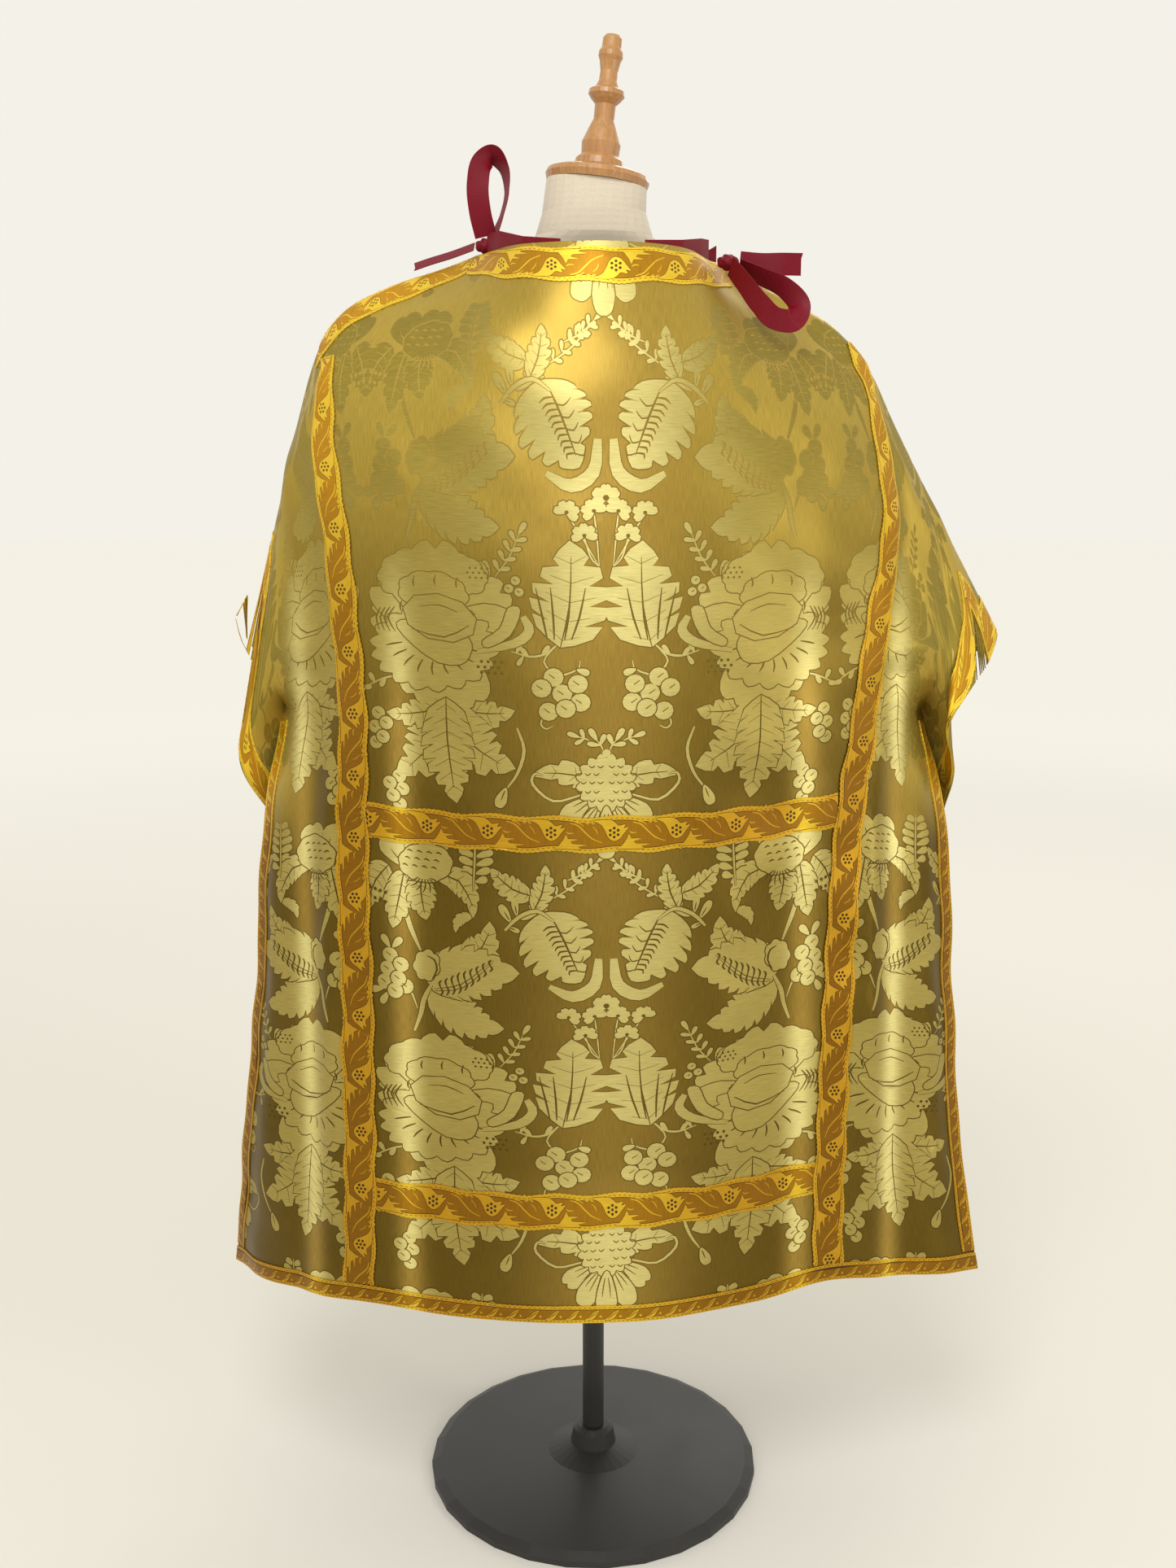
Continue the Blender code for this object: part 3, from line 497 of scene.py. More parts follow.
    def normals_of(self, points: Array) -> Array:
        """Outward unit normals of a grid of points, from the cells round each.

        Args:
            points: shape (rows, columns, 3).

        Returns:
            The same shape.
        """
        cross = np.cross(points[1:, 1:] - points[:-1, :-1], points[:-1, 1:] - points[1:, :-1])
        cross = np.nan_to_num(unit(cross))
        total = np.zeros_like(points)
        for i in (0, 1):
            for j in (0, 1):
                total[i: points.shape[0] - 1 + i, j: points.shape[1] - 1 + j] += cross
        ridge = np.abs(self.columns) >= NECK_COLUMN
        total[0, ridge, 1] = 0.0
        return unit(-total if self.front else total)

    def hang_tree(self) -> None:
        """Make the search tree that turns flat coordinates into places on the surface."""
        height, width = self.u.shape
        index = np.arange(height * width).reshape(height, width)
        solid = ~np.isnan(self.v)
        cell = solid[:-1, :-1] & solid[1:, :-1] & solid[:-1, 1:] & solid[1:, 1:]
        a, b = index[:-1, :-1][cell], index[:-1, 1:][cell]
        c, d = index[1:, 1:][cell], index[1:, :-1][cell]
        self.triangles = np.vstack([np.stack([a, d, c], 1), np.stack([a, c, b], 1)])
        flat = np.stack([np.nan_to_num(self.u), np.nan_to_num(self.v), np.zeros_like(self.u)], -1)
        self.flat_points = flat.reshape(-1, 3)
        self.tree = BVHTree.FromPolygons(self.flat_points.tolist(), self.triangles.tolist())

    def flat(self, columns: Array, rows: Array) -> Array:
        """Flat coordinates of net columns and rows.

        Args:
            columns, rows: equal shapes (m,).

        Returns:
            Shape (m, 2).
        """
        column = (np.asarray(columns, float) + CUFF_COLUMN) / self.STEP
        row = np.asarray(rows, float) / self.STEP
        last_row, last_column = len(self.rows) - 1, len(self.columns) - 1
        i = np.clip(np.floor(row + TINY).astype(int), 0, last_row)
        j = np.clip(np.floor(column + TINY).astype(int), 0, last_column)
        s, t = row - i, column - j
        found = []
        for field in (self.u, self.v):
            total = np.zeros_like(s)
            for di, wi in ((0, 1 - s), (1, s)):
                for dj, wj in ((0, 1 - t), (1, t)):
                    weight = wi * wj
                    value = field[np.minimum(i + di, last_row), np.minimum(j + dj, last_column)]
                    total += np.where(weight > 1e-7, weight * value, 0.0)
            found.append(total)
        return np.stack(found, -1)

    def place(self, flat: Array) -> tuple[Array, Array]:
        """Points and outward normals of the surface at flat coordinates.

        Args:
            flat: shape (m, 2).

        Returns:
            Points (m, 3) and normals (m, 3).
        """
        down = Vector((0.0, 0.0, -1.0))
        hits = np.empty((len(flat), 3))
        faces = np.empty(len(flat), int)
        for k, (u, v) in enumerate(flat.tolist()):
            spot, _, face, _ = self.tree.ray_cast(Vector((u, v, 1.0)), down)
            if spot is None:
                spot, _, face, _ = self.tree.find_nearest(Vector((u, v, 0.0)))
            hits[k] = spot
            faces[k] = face
        corners = self.triangles[faces]
        a, b, c = (self.flat_points[corners[:, k], :2] for k in range(3))
        ab, ac, ap = b - a, c - a, hits[:, :2] - a
        area = crossed(ab, ac)
        wb, wc = crossed(ap, ac) / area, crossed(ab, ap) / area
        weights = np.clip(np.stack([1 - wb - wc, wb, wc], -1), 0, 1)[..., None]
        points = (self.points.reshape(-1, 3)[corners] * weights).sum(axis=1)
        normals = (self.normals.reshape(-1, 3)[corners] * weights).sum(axis=1)
        return points, unit(normals)

    def line(self, start: tuple[float, float], end: tuple[float, float]) -> Array:
        """Flat coordinates along a straight line of the net, end left out.

        Args:
            start, end: (column, row) of the line's ends.

        Returns:
            Shape (m, 2), with a point at each step of the grid.
        """
        count = max(1, round(max(abs(end[0] - start[0]), abs(end[1] - start[1])) / self.STEP))
        t = np.arange(count) / count
        return self.flat(start[0] + (end[0] - start[0]) * t, start[1] + (end[1] - start[1]) * t)

    def outline(self, corners: list[tuple[float, float]]) -> Array:
        """Closed flat outline through net corners.

        Args:
            corners: (column, row) of each corner, in turn.

        Returns:
            Shape (m, 2).
        """
        return np.vstack([self.line(a, b) for a, b in zip(corners, corners[1:] + corners[:1])])


class Shape(NamedTuple):
    """A closed flat outline, the threads that fill it, and its turn in the painting order."""

    layer: int
    thread: Thread
    points: Array


class Cut(NamedTuple):
    """A flat piece of cloth as triangles, each with its threads, and where its outline's points are."""

    points: Array
    triangles: Array
    threads: Array
    given: list[int]

    def packed(self, first: int) -> tuple[Array, Array, dict[int, int]]:
        """Only the points that its triangles use, numbered anew.

        Args:
            first: number of the first.

        Returns:
            The points, the triangles, and the new number of each old one.
        """
        used, faces = np.unique(self.triangles, return_inverse=True)
        numbers = {old: new + first for new, old in enumerate(used.tolist())}
        return self.points[used], faces.reshape(-1, 3) + first, numbers


def within(points: Array, outline: Array) -> Array:
    """Which points lie inside a closed outline.

    Args:
        points: shape (m, 2). outline: shape (n, 2).

    Returns:
        Booleans, shape (m,).
    """
    x, y = points[:, 0], points[:, 1]
    odd = np.zeros(len(points), bool)
    for (ax, ay), (bx, by) in zip(outline, np.roll(outline, -1, axis=0)):
        if ay != by:
            odd ^= ((ay > y) != (by > y)) & (x < (bx - ax) * (y - ay) / (by - ay) + ax)
    return odd


def enclosed(triangles: Array, flat: Array, border: set, outline: Array) -> Array:
    """The triangles that a border encloses, spread from one that is well inside.

    Args:
        triangles: shape (m, 3). flat: points. border: pairs of points that it runs between.
        outline: the same border as a closed line.

    Returns:
        Indices of the enclosed triangles.
    """
    ends = np.sort(np.concatenate([triangles[:, [0, 1]], triangles[:, [1, 2]], triangles[:, [2, 0]]]), axis=1)
    keys = ends[:, 0].astype(np.int64) * len(flat) + ends[:, 1]
    order = np.argsort(keys, kind="stable")
    same = keys[order][1:] == keys[order][:-1]
    first, second = order[:-1][same], order[1:][same]
    fence = {a * len(flat) + b for a, b in border}
    free = ~np.isin(keys[first], np.array(sorted(fence), np.int64))
    count = len(triangles)
    beside: list[list[int]] = [[] for _ in range(count)]
    for a, b in zip((first[free] % count).tolist(), (second[free] % count).tolist()):
        beside[a].append(b)
        beside[b].append(a)
    a, b, c = (flat[triangles[:, k]] for k in range(3))
    area = np.abs(crossed(b - a, c - a))
    area[~within((a + b + c) / 3, outline)] = 0
    seen = np.zeros(count, bool)
    queue = [int(area.argmax())]
    seen[queue[0]] = True
    while queue:
        for near in beside[queue.pop()]:
            if not seen[near]:
                seen[near] = True
                queue.append(near)
    return np.flatnonzero(seen)


# Rows of plain triangles lie this many steps apart, and points closer than this many mm are one.
ROW_RISE = 0.87
JOINED_MM = 0.004


def cut_flat(outline: Array, shapes: list[Shape], creases: list[Array], step: float, base: Thread) -> Cut:
    """Cut a piece of flat cloth into triangles that follow its pattern.

    Args:
        outline: the piece's closed outline. shapes: its pattern. creases: open lines that the
        triangles follow. step: spacing of plain triangles. base: threads where no shape lies.

    Returns:
        The cut piece.
    """
    low, high = outline.min(axis=0), outline.max(axis=0)
    points, edges = [outline], []
    count = len(outline)
    edges += [(i, (i + 1) % count) for i in range(count)]
    used = [
        shape for shape in shapes
        if (shape.points.min(axis=0) < high).all() and (shape.points.max(axis=0) > low).all()
    ]
    for line, closed in [(shape.points, True) for shape in used] + [(crease, False) for crease in creases]:
        size = len(line)
        points.append(line)
        edges += [(count + i, count + (i + 1) % size) for i in range(size if closed else size - 1)]
        count += size
    across = np.arange(low[0] + step / 2, high[0], step)
    grid = [
        np.stack([across + (step / 2 if k % 2 else 0), np.full(len(across), y)], -1)
        for k, y in enumerate(np.arange(low[1] + step / 2, high[1], step * ROW_RISE))
    ]
    plain = np.vstack(grid)
    points.append(plain[within(plain, outline)])
    coords = np.vstack(points) * MM_IN_M
    found, lines, faces, givens, sources, _ = delaunay_2d_cdt(
        [Vector(p) for p in coords.tolist()], edges, [], 0, JOINED_MM, True
    )
    flat = np.array([tuple(p) for p in found]) / MM_IN_M
    triangles = np.array([face[:] for face in faces])
    border = {
        tuple(sorted(line)) for line, source in zip(lines, sources) if source and min(source) < len(outline)
    }
    triangles = triangles[enclosed(triangles, flat, border, outline)]
    a, b, c = (flat[triangles[:, k]] for k in range(3))
    wrong = crossed(b - a, c - a) < 0
    triangles[wrong] = triangles[wrong][:, ::-1]
    triangles = mended(triangles)
    centres = flat[triangles].mean(axis=1)
    threads = np.full(len(triangles), int(base))
    order = np.argsort(centres[:, 1])
    sorted_v = centres[order, 1]
    for shape in sorted(used, key=lambda s: s.layer):
        left, bottom = shape.points.min(axis=0)
        right, top = shape.points.max(axis=0)
        near = order[np.searchsorted(sorted_v, bottom): np.searchsorted(sorted_v, top)]
        near = near[(centres[near, 0] >= left) & (centres[near, 0] <= right)]
        threads[near[within(centres[near], shape.points)]] = int(shape.thread)
    where = {given: i for i, group in enumerate(givens) for given in group if given < len(outline)}
    return Cut(flat, triangles, threads, [where[i] for i in range(len(outline))])


def rims(triangles: Array) -> list[list[int]]:
    """The loops of points round the edges of some triangles, in their direction, longest first.

    Args:
        triangles: shape (m, 3), all turned the same way.

    Returns:
        Point indices of each loop, in order.
    """
    ends = np.concatenate([triangles[:, [0, 1]], triangles[:, [1, 2]], triangles[:, [2, 0]]])
    pairs = set(map(tuple, ends.tolist()))
    onward: dict[int, list[int]] = {}
    for a, b in sorted(pairs):
        if (b, a) not in pairs:
            onward.setdefault(a, []).append(b)
    loops = []
    while onward:
        first = here = min(onward, key=lambda a: (len(onward[a]), a))
        loop = []
        while True:
            loop.append(here)
            after = onward[here].pop()
            if not onward[here]:
                del onward[here]
            here = after
            if here == first or here not in onward:
                break
        loops.append(loop)
    return sorted(loops, key=len, reverse=True)


# A hole with fewer points round it than this is no part of the cut.
PINHOLE_POINTS = 12


def mended(triangles: Array) -> Array:
    """The same triangles with pinholes filled, such as where mirrored shapes meet.

    Args:
        triangles: shape (m, 3), all turned the same way.

    Returns:
        Shape (n, 3).
    """
    holes = [loop for loop in rims(triangles)[1:] if len(loop) < PINHOLE_POINTS]
    patches = [(loop[0], loop[k + 1], loop[k]) for loop in holes for k in range(1, len(loop) - 1)]
    return np.vstack([triangles, np.array(patches, int).reshape(-1, 3)])


@dataclass
class Cloth:
    """A closed shell of cloth whose outer face carries a woven pattern.

    Fields: name, its outline, pattern and creases in flat coordinates, place, which hangs flat
    points on the body, the heights of its inner and outer face over the surface, the size of its
    plain triangles, its materials, whether its faces are turned to point out, and the threads
    where no pattern lies.
    """

    # The plain reverse needs fewer triangles than the figured face.
    REVERSE_STEPS = 1.5

    name: str
    outline: Array
    shapes: list[Shape]
    creases: list[Array]
    place: Placer
    low: float
    high: float
    step: float
    materials: list[bpy.types.Material]
    turned: bool
    base: Thread = Thread.GROUND

    def build(self) -> bpy.types.Object:
        """Cut the face and the reverse flat, hang both and close the edge between them.

        Returns:
            One mesh object at the origin.
        """
        top = cut_flat(self.outline, self.shapes, self.creases, self.step, self.base)
        loop = rims(top.triangles)[0]
        coarse = self.step * self.REVERSE_STEPS
        reverse = cut_flat(top.points[loop], [], self.creases, coarse, Thread.REVERSE)
        upper_flat, faces, over = top.packed(0)
        lower_flat, under_faces, under = reverse.packed(len(upper_flat))
        upper, normals = self.place(upper_flat)
        lower, lower_normals = self.place(lower_flat)
        sides = []
        count = len(loop)
        for k in range(count):
            a, b = over[loop[k]], over[loop[(k + 1) % count]]
            c, d = under[reverse.given[k]], under[reverse.given[(k + 1) % count]]
            sides += [(b, a, c), (b, c, d)]
        every = np.vstack([faces, under_faces[:, ::-1], np.array(sides)])
        if self.turned:
            every = every[:, ::-1]
        points = np.vstack([upper + normals * self.high, lower + lower_normals * self.low])
        flat = np.vstack([upper_flat, lower_flat])
        threads = np.concatenate([
            top.threads, np.zeros(len(under_faces), int), np.full(len(sides), int(Thread.GROUND)),
        ])
        return mesh_object(self.name, points, every, threads, self.materials, flat)


class PaintedLustre:
    """Painted light on the silk by place, written on every piece for its finish: painted highlights, and
    painted light and shade that trade ground and figure.
    """

    # The painted shine down the middle: where it lies, its half width, and its strength at some heights.
    MIDDLE, HALF = 0.004, 0.085
    MIDDLE_HEIGHTS = (0.4, 0.62, 0.8, 1.05, 1.25, 1.5)
    MIDDLE_SHINE = (0.6, 0.35, 0.4, 0.55, 0.8, 0.4)
    # Place, half width and strength of each upright painted highlight streak, which ends below the shoulder
    # blades.
    STREAKS = ((-0.228, 0.014, 0.75), (-0.345, 0.011, 0.7), (0.232, 0.016, 0.7), (0.352, 0.012, 0.8))
    STREAK_TOP, STREAK_FADE = 1.22, 0.2
    # How far painted light and shade make ground and figure trade places up the garment, out from its middle
    # and on the sleeves.
    TURN_UP = ((0.95, 1.16, 1.30, 1.42), (0.0, 0.30, 0.80, 1.0))
    TURN_OUT = ((0.0, 0.12, 0.2), (0.65, 0.85, 1.0))
    SLEEVE_OUT, SLEEVE_UP = (0.32, 0.37), (0.86, 0.95)

    @classmethod
    def tone(cls, points: Array) -> Array:
        """Painted highlight: how far the floats shine, down the middle and in narrow upright streaks.

        Args:
            points: shape (m, 3).

        Returns:
            0 to 1 at each point.
        """
        x, z = points[:, 0], points[:, 2]
        shine = np.interp(z, cls.MIDDLE_HEIGHTS, cls.MIDDLE_SHINE)
        centre = np.exp(-((x - cls.MIDDLE) / cls.HALF) ** 2) * shine
        streaks = sum(size * np.exp(-((x - at) / width) ** 2) for at, width, size in cls.STREAKS)
        return np.clip(centre + streaks * np.clip((cls.STREAK_TOP - z) / cls.STREAK_FADE, 0, 1), 0, 1)

    @classmethod
    def turn(cls, points: Array) -> Array:
        """Painted light and shade: how far ground and figure trade places, as damask does towards the
        shoulders and sleeves where light falls on it from above.

        Args:
            points: shape (m, 3).

        Returns:
            0 to 1 at each point.
        """
        x, z = np.abs(points[:, 0]), points[:, 2]
        high = np.interp(z, *cls.TURN_UP) * np.interp(x, *cls.TURN_OUT)
        sleeve = np.interp(x, cls.SLEEVE_OUT, (0, 1)) * np.interp(z, cls.SLEEVE_UP, (0, 1))
        return np.clip(np.maximum(high, sleeve), 0, 1)


# Edges that bend by more than this are shaded as sharp.
SHARP = math.radians(50)


def linked(name: str, data: bpy.types.ID) -> bpy.types.Object:
    """An object that shows some data in the scene.

    Args:
        name: its name. data: a mesh, a lamp or a camera.

    Returns:
        The object, at the origin.
    """
    thing = bpy.data.objects.new(name, data)
    bpy.context.scene.collection.objects.link(thing)
    return thing


def mesh_object(
    name: str, points: Array, faces: Array, slots: Array, materials: list[bpy.types.Material],
    flat: Array,
) -> bpy.types.Object:
    """A mesh object from arrays of triangles.

    Args:
        name: its name. points: (m, 3). faces: (n, 3). slots: material slot of each face.
        materials: its materials. flat: (m, 2) cloth coordinates in metres, for the map "cloth".

    Returns:
        The object, at the origin.
    """
    data = bpy.data.meshes.new(SEWN + name)
    data.from_pydata(points.tolist(), [], faces.tolist())
    for material in materials:
        data.materials.append(material)
    data.polygons.foreach_set("material_index", slots.astype(np.int32))
    loops = np.empty(len(data.loops), np.int32)
    data.loops.foreach_get("vertex_index", loops)
    data.uv_layers.new(name="cloth").data.foreach_set("uv", flat[loops].astype(np.float32).ravel())
    # Painted light by place: a painted highlight, and where painted light and shade trade ground and figure.
    for title, values in (("tone", PaintedLustre.tone(points)), ("turn", PaintedLustre.turn(points))):
        data.attributes.new(title, "FLOAT", "POINT").data.foreach_set("value", values.astype(np.float32))
    data.shade_smooth()
    data.set_sharp_from_angle(angle=SHARP)
    return linked(SEWN + name, data)


def smooth(table: Array | list, closed: bool = True, count: int = 4) -> Array:
    """A smooth line through a few points.

    Args:
        table: shape (n, 2). closed: whether it joins up. count: points to each span.

    Returns:
        Shape (m, 2).
    """
    p = np.asarray(table, float)
    if closed:
        p = np.vstack([p[-1:], p, p[:2]])
    else:
        p = np.vstack([2 * p[:1] - p[1:2], p, 2 * p[-1:] - p[-2:-1]])
    t = (np.arange(count) / count)[:, None]
    spans = []
    for a, b, c, d in zip(p, p[1:], p[2:], p[3:]):
        spans.append(0.5 * (2 * b + (c - a) * t + (2 * a - 5 * b + 4 * c - d) * t**2
                            + (3 * b - 3 * c + d - a) * t**3))
    line = np.vstack(spans)
    return line if closed else np.vstack([line, p[-2:-1]])


def grown(outline: Array, margin: float) -> Array:
    """The outline moved outwards by a margin.

    Args:
        outline: closed, shape (n, 2). margin: how far.

    Returns:
        The same shape.
    """
    after, before = np.roll(outline, -1, axis=0), np.roll(outline, 1, axis=0)
    along = unit(after - before)
    outward = np.stack([along[:, 1], -along[:, 0]], -1)
    return outline + outward * (margin if np.sum(crossed(outline, after)) > 0 else -margin)


def polar(degrees: float, length: float) -> Array:
    """A step of some length at an angle from +x."""
    return np.array((math.cos(math.radians(degrees)), math.sin(math.radians(degrees)))) * length


class Chart:
    """One drawing of woven shapes, in loom millimetres: x out from the mirror line, y up.

    A figure's depth is its turn among the figures. Each takes three layers: the line round it,
    its body, and what is drawn on it.
    """

    OUTLINE = 1.5
    # Across and along a petal from its foot, as shares of width and length; the notch goes between.
    PETAL_SIDE = ((0.0, 0.10), (0.28, 0.34), (0.66, 0.50), (0.93, 0.34), (1.0, 0.12))
    PETAL_FAR_SIDE = ((1.0, -0.14), (0.92, -0.36), (0.64, -0.50), (0.26, -0.33), (0.0, -0.10))

    def __init__(self) -> None:
        """An empty chart."""
        self.shapes: list[Shape] = []

    def fill(
        self, outline: Array, depth: int, thread: Thread = Thread.FIGURE, edge: float | None = None,
    ) -> None:
        """Lay a figure with its woven outline.

        Args:
            outline: closed line. depth: its turn among the figures. thread: what fills it.
            edge: width of the line round it, 0 for none.
        """
        margin = self.OUTLINE if edge is None else edge
        if margin:
            self.shapes.append(Shape(depth * 3, Thread.LINE, grown(outline, margin)))
        self.shapes.append(Shape(depth * 3 + 1, thread, outline))

    def stroke(
        self, table: list, width: float, depth: int, thread: Thread = Thread.LINE, count: int = 2,
    ) -> None:
        """Lay a line that tapers to both ends.

        Args:
            table: its points. width: its widest. depth: its turn. thread: what fills it.
            count: points to each span.
        """
        line = smooth(table, False, count)
        along = unit(np.gradient(line, axis=0))
        side = np.stack([-along[:, 1], along[:, 0]], -1)
        t = np.linspace(0, 1, len(line))[:, None]
        half = width / 2 * (0.35 + 0.65 * np.sin(np.pi * np.clip(t * 0.85 + 0.12, 0, 1)))
        outline = np.vstack([line + side * half, (line - side * half)[::-1]])
        self.shapes.append(Shape(depth * 3 + 2, thread, outline))

    def stem(self, table: list, width: float, depth: int = 1) -> None:
        """Lay a plain stem in figure threads with a line along both edges."""
        self.stroke(table, width + 2.4, depth - 1, Thread.LINE, 3)
        self.stroke(table, width, depth, Thread.FIGURE, 3)

    def dot(
        self, centre: tuple, radius: float, depth: int, thread: Thread = Thread.LINE, sides: int = 6,
    ) -> None:
        """Lay a small round spot.

        Args:
            centre, radius: its place and size. depth: its turn. thread: what fills it.
            sides: corners of its outline.
        """
        turns = np.arange(sides) * 360 / sides
        ring = np.array([np.array(centre) + polar(turn, radius) for turn in turns])
        self.shapes.append(Shape(depth * 3 + 2, thread, ring))

    def scalloped(
        self, centre: tuple, radii: tuple, turn: float, lobes: int, cut: float, depth: int,
        thread: Thread = Thread.FIGURE, edge: float | None = None,
    ) -> None:
        """Lay an oval with a scalloped edge.

        Args:
            centre: its middle. radii: half width and half height. turn: degrees. lobes: scallops.
            cut: how deep they are, as a share of the radius. depth, thread, edge: as for fill.
        """
        steps = lobes * (4 if cut else 3)
        angles = np.arange(steps) * 360 / steps
        wave = 1 - cut * np.abs(np.cos(np.radians(angles) * lobes / 2)) ** 3
        ring = np.array([
            (math.cos(math.radians(a)) * radii[0], math.sin(math.radians(a)) * radii[1]) for a in angles
        ]) * wave[:, None]
        c, s = math.cos(math.radians(turn)), math.sin(math.radians(turn))
        self.fill(np.array(centre) + ring @ np.array(((c, s), (-s, c))), depth, thread, edge)

    def petal(
        self, foot: tuple, degrees: float, length: float, width: float, depth: int, notch: float = 0.06,
        veins: int = 0,
    ) -> None:
        """Lay a rounded petal with a small notch at its end.

        Args:
            foot: where it grows from. degrees, length, width: its direction and size.
            depth: its turn. notch: depth of the notch as a share of length. veins: lines on it.
        """
        ahead, side = polar(degrees, 1.0), polar(degrees + 90, 1.0)
        table = self.PETAL_SIDE + ((1.0 - notch, 0.0),) + self.PETAL_FAR_SIDE
        points = [np.array(foot) + ahead * length * a + side * width * b for a, b in table]
        self.fill(smooth(points, True, 2), depth)
        for k in range(veins):
            lean = (k - (veins - 1) / 2) / max(veins, 1)
            start = np.array(foot) + ahead * length * 0.12 + side * width * lean * 0.3
            end = np.array(foot) + ahead * length * (0.62 - 0.25 * abs(lean)) + side * width * lean * 0.8
            middle = (start + end) / 2 + side * width * lean * 0.06
            self.stroke([start, middle, end], 1.5, depth)

    def petals(self, spots: tuple, length: float, width: float, depth: int) -> None:
        """Lay small plain petals of one size, each at its (x, y, degrees)."""
        for x, y, turn in spots:
            self.petal((x, y), turn, length, width, depth, 0.0)

    def leaf(
        self, foot: tuple, tip: tuple, bend: float, width: float, lobes: int, cut: float, depth: int,
        sharp: bool = False, veins: bool = True,
    ) -> None:
        """Lay a lobed leaf on a bent midrib.

        Args:
            foot, tip: ends of its midrib. bend: how far the midrib bows, as a share of length.
            width: at its widest. lobes: on each side. cut: depth of the gaps, 0 to 1.
            depth: its turn. sharp: pointed teeth in place of round lobes. veins: ribs on it.
        """
        foot, tip = np.array(foot, float), np.array(tip, float)
        length = np.linalg.norm(tip - foot)
        ahead = (tip - foot) / length
        left = np.array((-ahead[1], ahead[0]))

        def rib(t: float) -> tuple[Array, Array]:
            """The midrib's point and direction.

            Args:
                t: 0 at the foot to 1 at the tip.

            Returns:
                The point and a unit direction.
            """
            spot = foot + ahead * length * t + left * bend * length * 4 * t * (1 - t)
            slope = ahead + left * bend * 4 * (1 - 2 * t)
            slope /= np.linalg.norm(slope)
            return spot, slope

        edge = []
        for side in (1, -1):
            run = []
            for k in range(lobes):
                # Where along its lobe each corner stands, how wide, and how far it leans ahead.
                for part, share, reach in ((0.0, 1 - cut, 0.0), (0.35, 0.92, 0.03), (0.78, 1.0, 0.09)):
                    t = 0.05 + 0.9 * (k + part) / lobes
                    profile = math.sin(math.pi * min(1.0, t * 0.80 + 0.16)) ** 0.8 * (1 - 0.55 * t**5)
                    spot, slope = rib(t)
                    across = np.array((-slope[1], slope[0])) * side
                    run.append(spot + across * width / 2 * profile * share + slope * reach * length * (1 - t))
            edge.append(run)
        outline = np.array([foot] + edge[0] + [tip] + edge[1][::-1])
        self.fill(outline if sharp else smooth(outline, True, 2), depth)
        if veins:
            self.stroke([rib(0.0)[0], rib(0.4)[0], rib(0.85)[0]], 2.0, depth)
            for side in (1, -1):
                for k in range(lobes):
                    t = 0.05 + 0.9 * (k + 0.1) / lobes
                    spot, slope = rib(t)
                    across = np.array((-slope[1], slope[0])) * side
                    out = spot + across * width * 0.30 * math.sin(math.pi * (t * 0.8 + 0.16))
                    self.stroke([spot, out + slope * length * 0.07], 1.3, depth, count=1)

    def sprig(self, foot: tuple, degrees: float, length: float, pairs: int, size: float, depth: int) -> None:
        """Lay a twig of small paired leaves with one at its end.

        Args:
            foot: where it grows from. degrees, length: its direction and size. pairs: of leaves.
            size: length of one leaf. depth: its turn.
        """
        end = np.array(foot) + polar(degrees, length)
        self.stem([foot, (np.array(foot) + end) / 2 + polar(degrees + 90, length * 0.06), end], 2.0, depth)
        for k in range(pairs):
            spot = np.array(foot) + polar(degrees, length * (k + 0.7) / (pairs + 0.4))
            for side in (1, -1):
                self.petal(tuple(spot), degrees + side * 52, size, size * 0.42, depth, 0.0)
        self.petal(tuple(end), degrees, size * 1.15, size * 0.5, depth, 0.0)

    def berries(self, spots: list, radius: float, depth: int) -> None:
        """Lay a bunch of round berries, each with a small wedge.

        Args:
            spots: their middles. radius: of one. depth: turn of the first.
        """
        for k, (x, y) in enumerate(spots):
            self.scalloped((x, y), (radius, radius), 0, 4, 0.0, depth + k % 2)
            wedge = [(x - radius * 0.1, y - radius * 0.1), (x + radius * 0.5, y + radius * 0.35)]
            self.stroke(wedge, 2.4, depth + 1, count=1)


